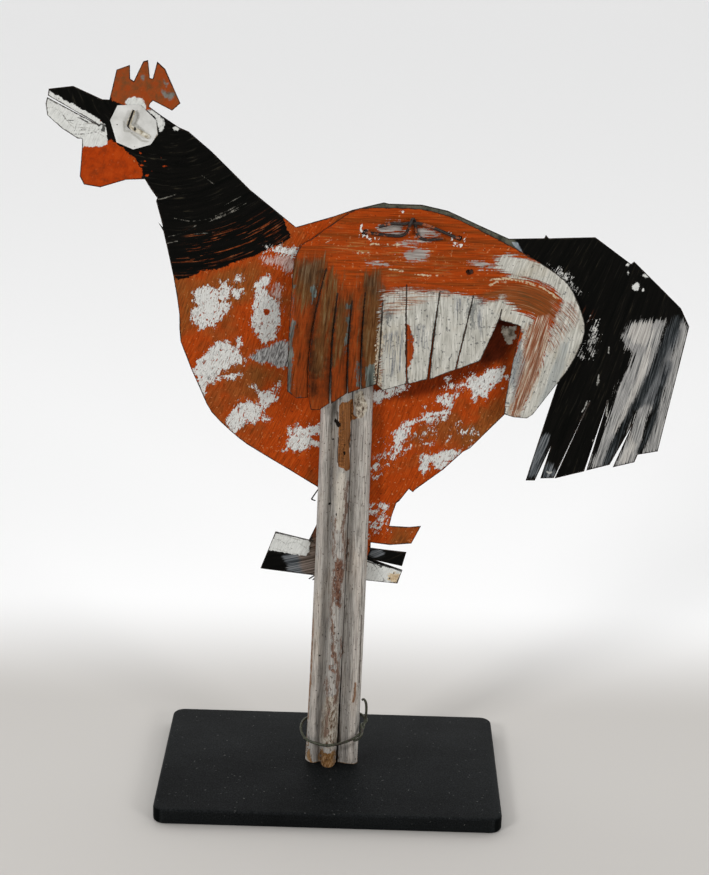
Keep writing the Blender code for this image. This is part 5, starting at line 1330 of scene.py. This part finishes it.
postPaint = {
    "noises": {
        "cloud": ("place", (22.22, 22.22, 83.33), 4, 0.6),
        "mottle": ("place", (5.263, 5.263, 12.5), 4, 0.7),
        "grain": ("place", (0.7692, 0.7692, 20.83), 4, 0.7),
        "fibre": ("place", (3.03, 3.03, 111.1), 4, 0.6),
        "flake": ("place", (2.381, 2.381, 5.263), 4, 0.7),
        "speck": ("place", (1.613, 1.613, 3.03), 1, 0.5)},
    "relief": ("grain", 0.3), "bump": 0.8, "gloss": 0.1,
    "layers": {
        "grey white paint": dict(
            rough=0.6, build=0.1, colours={0.28: "#4b4742", 0.39: "#837e78", 0.52: "#aaa59e", 0.66: "#cbc6bf"}),
        "bluish drag": dict(
            streaks=("fibre", 0.54, 0.66), rough=0.6, cover=0.55, colours={0.4: "#6c6d70", 0.6: "#939497"}),
        "beige drag": dict(
            streaks=("cloud", 0.54, 0.66), rough=0.6, cover=0.35, colours={0.4: "#9c8570", 0.6: "#bfab94"}),
        # grime and painted shade: the coves darker than the lobes
        "grime and painted shade in the coves": dict(
            field="grime", ragged={"fibre": 9, "grain": 4}, soft=3, rough=0.65, cover=0.6,
            colours={0.38: "#57524c", 0.6: "#7f7a74"}),
        # rubbed paint and painted highlight: the outer lobes lighter
        "rubbed lobes with painted highlight": dict(
            field="light", ragged={"fibre": 12, "grain": 6}, soft=3, rough=0.55, cover=0.55,
            colours={0.4: "#b1a79e", 0.6: "#d0c7bd"}),
        "pale bead": dict(
            field="paleBead", ragged={"grain": 8, "mottle": 6}, soft=2, rough=0.55, build=0.05, cover=0.7,
            colours={0.4: "#aaa295", 0.6: "#d2cbbe"}),
        "rough bead": dict(
            field="roughBead", ragged={"flake": 9, "mottle": 4}, soft=1.2, shade="flake", rough=0.6, build=0.15,
            colours={0.36: "#5b4433", 0.46: "#8d8071", 0.54: "#b7afa2", 0.66: "#cfc8bc"}),
        "crackle": dict(
            field="crackle", ragged={"mottle": 5}, soft=1.5, shade="flake", rough=0.6, build=0.1,
            colours={0.38: "#4b3b30", 0.46: "#8f8374", 0.55: "#bdb5a4", 0.66: "#d3ccbd"}),
        "worn bead": dict(
            field="wornBead", ragged={"flake": 16, "grain": 8, "mottle": 8}, start=0.2, soft=0.7, rough=0.6,
            build=-0.2, cover=0.9, colours={0.36: "#402a1f", 0.5: "#6d5040", 0.64: "#957b6b"}),
        "worn patches": dict(
            field="wornPatch", ragged={"flake": 18, "mottle": 10, "grain": 8}, start=0.9, soft=0.8, shade="flake",
            rough=0.6, build=-0.3, colours={0.36: "#3a241a", 0.5: "#654436", 0.6: "#8b6f60"}),
        "brown edges": dict(
            field="brownEdge", ragged={"flake": 4, "grain": 4}, soft=0.8, rough=0.6, build=-0.15, cover=0.9,
            colours={0.4: "#5e3d24", 0.6: "#8b6342"}),
        "bare wood": dict(
            field="bare", ragged={"flake": 1.2, "grain": 1}, soft=0.4, rough=0.65, build=-0.5,
            colours={0.32: "#5c371d", 0.46: "#81532e", 0.56: "#966339", 0.7: "#aa7748"}),
        "bare foot": dict(
            field="footBare", ragged={"flake": 14, "grain": 3}, start=0.2, soft=0.6, shade="flake", rough=0.65,
            build=-0.3, colours={0.35: "#4f351f", 0.5: "#7d5831", 0.62: "#a98b68"}),
        "dark chipped edges": dict(
            field="darkEdge", ragged={"grain": 1.6, "flake": 1}, soft=0.4, rough=0.7, build=-0.3, cover=0.85,
            colours={0.4: "#241710", 0.6: "#473223"}),
        "pin marks": dict(
            field="dot", ragged={"speck": 0.8}, soft=0.4, rough=0.7, build=-0.4,
            colours={0.4: "#12100d", 0.6: "#2b2420"}),
        "pitting": dict(
            streaks=("flake", 0.6, 0.68), rough=0.7, build=-0.15, cover=0.6,
            colours={0.4: "#433a32", 0.6: "#6a6058"}),
        "dark specks": dict(
            streaks=("speck", 0.67, 0.74), rough=0.7, build=-0.1, cover=0.8,
            colours={0.4: "#2f2823", 0.6: "#5c5048"}),
        "nail holes": dict(
            field="hole", ragged={"flake": 1.6}, soft=0.5, rough=0.8, build=-1.2,
            colours={0.4: "#080605", 0.6: "#1e140d"}),
        "unpainted back and ends": dict(
            field="unpainted", ragged={"mottle": 2}, soft=0.8, rough=0.7, build=-0.2,
            colours={0.32: "#4a3524", 0.47: "#6e5138", 0.58: "#80623f", 0.72: "#93764f"})}}


postLook = {"step": 2.2, "passes": 7, "paintedTo": 5, "hidden": -20,  # paint is drawn in front of y 5 alone
            "back": 8.5, "top": 424.6, "foot": 14.9, "endMargin": 0.6,  # where the unpainted wood starts
            "grainSize": (4, 4, 50), "grainDepth": 0.7, "splitDepth": 0.8, "smoothAngle": 40}  # millimetres, degrees


def makePost(shapes, look):
    piece = copyNode("post", "mouldingPost")
    refine(piece, look["step"] * mm, look["passes"])
    x, y, z = placesOf(piece)
    front = np.where(y < look["paintedTo"], 0.0, look["hidden"])
    fields = {key: layerField(x, z, drawn) + front for key, drawn in shapes.items()}
    ends = np.maximum(z - look["top"], look["foot"] - z)
    fields["unpainted"] = np.maximum(np.clip(y - look["back"], -6, 1.5), np.clip(ends, -6, 1))
    for key, field in fields.items():
        giveField(piece, key, field)
    grainAxes = linkNew("grainAxes", None)
    grainAxes.scale = [v * mm for v in look["grainSize"]]
    bpy.context.view_layer.update()
    wood = bpy.data.textures.new("wood grain", "CLOUDS")
    wood.noise_scale = 1  # one grainSize
    wood.noise_depth = 3
    faces = (y < look["back"]) & (z > look["foot"] + look["endMargin"]) & (z < look["top"] - look["endMargin"])
    addModifier(piece, "DISPLACE", texture=wood, strength=look["grainDepth"] * mm, mid_level=1.0,
                texture_coords="OBJECT", texture_coords_object=grainAxes, vertex_group=weigh(piece, "faces", faces))
    addModifier(piece, "DISPLACE", strength=-look["splitDepth"] * mm, mid_level=0.0,
                vertex_group=weigh(piece, "splitOff", np.clip(fields["bare"], 0, 1)))
    applyModifiers(piece)
    bpy.data.objects.remove(grainAxes)
    piece.data.materials.append(paintLayers("worn paint over old pine", postPaint))
    finishPiece(piece, "post", look["smoothAngle"])


makePost(postShapes, postLook)


# Base: a wood block in satin black, that gives a soft dark sheen, paler along its rim, where rubbed paint and a painted
# highlight lie, and a little dust

baseLook = {"size": (305, 200, 14.2), "corner": 11, "cornerSteps": 12, "rim": 2.2, "rimSteps": 6,
            "rubbedAt": 0.4, "rubbedWidth": 1, "smoothAngle": 40}  # millimetres, degrees; rubbedAt is from the rim

basePaint = {
    "noises": {
        "cloud": ("place", (111.1, 71.43, 71.43), 4, 0.6),
        "brush": ("place", (55.56, 2.381, 2.381), 4, 0.6),
        "speck": ("place", 3.03, 1, 0.5),
        "grain": ("place", 1.111, 2, 0.5)},
    "relief": ("brush", 0.03), "bump": 0.4, "gloss": 0.012,
    "layers": {
        "satin black": dict(
            shade="cloud", colours={0.35: "#070808", 0.65: "#0b0d0d"}),
        # rubbed paint and a painted highlight: a paler line along the rim
        "rubbed rim with painted highlight": dict(
            field="rubbed", ragged={"cloud": 0.8, "grain": 0.6}, soft=0.9, rough=0.3, cover=0.5,
            colours={0.4: "#1d1f20", 0.65: "#303233"}),
        "dust": dict(
            streaks=("speck", 0.735, 0.77), rough=0.8, build=0.03, cover=0.5,
            colours={0.4: "#3b3c3b", 0.6: "#6f6f6c"})}}


def makeBase(look, paint):
    length, depth, height = (v * mm for v in look["size"])
    deselect()
    bpy.ops.mesh.primitive_cube_add(size=1)
    piece = bpy.context.object
    piece.name = piece.data.name = "baseBlock"
    startEdit(piece)
    bpy.ops.mesh.select_all(action="SELECT")
    bpy.ops.transform.resize(value=(length, depth, height))
    bpy.ops.transform.translate(value=(0, 0, height / 2))
    bm = startEdit(piece, "EDGE")
    for edge in bm.edges:
        edge.select = abs(edge.verts[0].co.z - edge.verts[1].co.z) > height / 2
    bpy.ops.mesh.bevel(offset=look["corner"] * mm, segments=look["cornerSteps"], affect="EDGES")
    bm = startEdit(piece, "EDGE")
    for edge in bm.edges:
        edge.select = edge.calc_face_angle() > 1
    bpy.ops.mesh.bevel(offset=look["rim"] * mm, segments=look["rimSteps"], affect="EDGES")
    endEdit()
    x, y, z = placesOf(piece)
    inner = np.maximum(np.abs(x) - look["size"][0] / 2, np.abs(y) - look["size"][1] / 2)
    fromRim = np.minimum(-inner, look["size"][2] - z)
    # the rim line: rubbed paint and painted highlight
    giveField(piece, "rubbed", look["rubbedWidth"] / 2 - np.abs(fromRim - look["rubbedAt"]))
    piece.data.materials.append(paintLayers("satin black wood", paint))
    finishPiece(piece, "base", look["smoothAngle"])


makeBase(baseLook, basePaint)
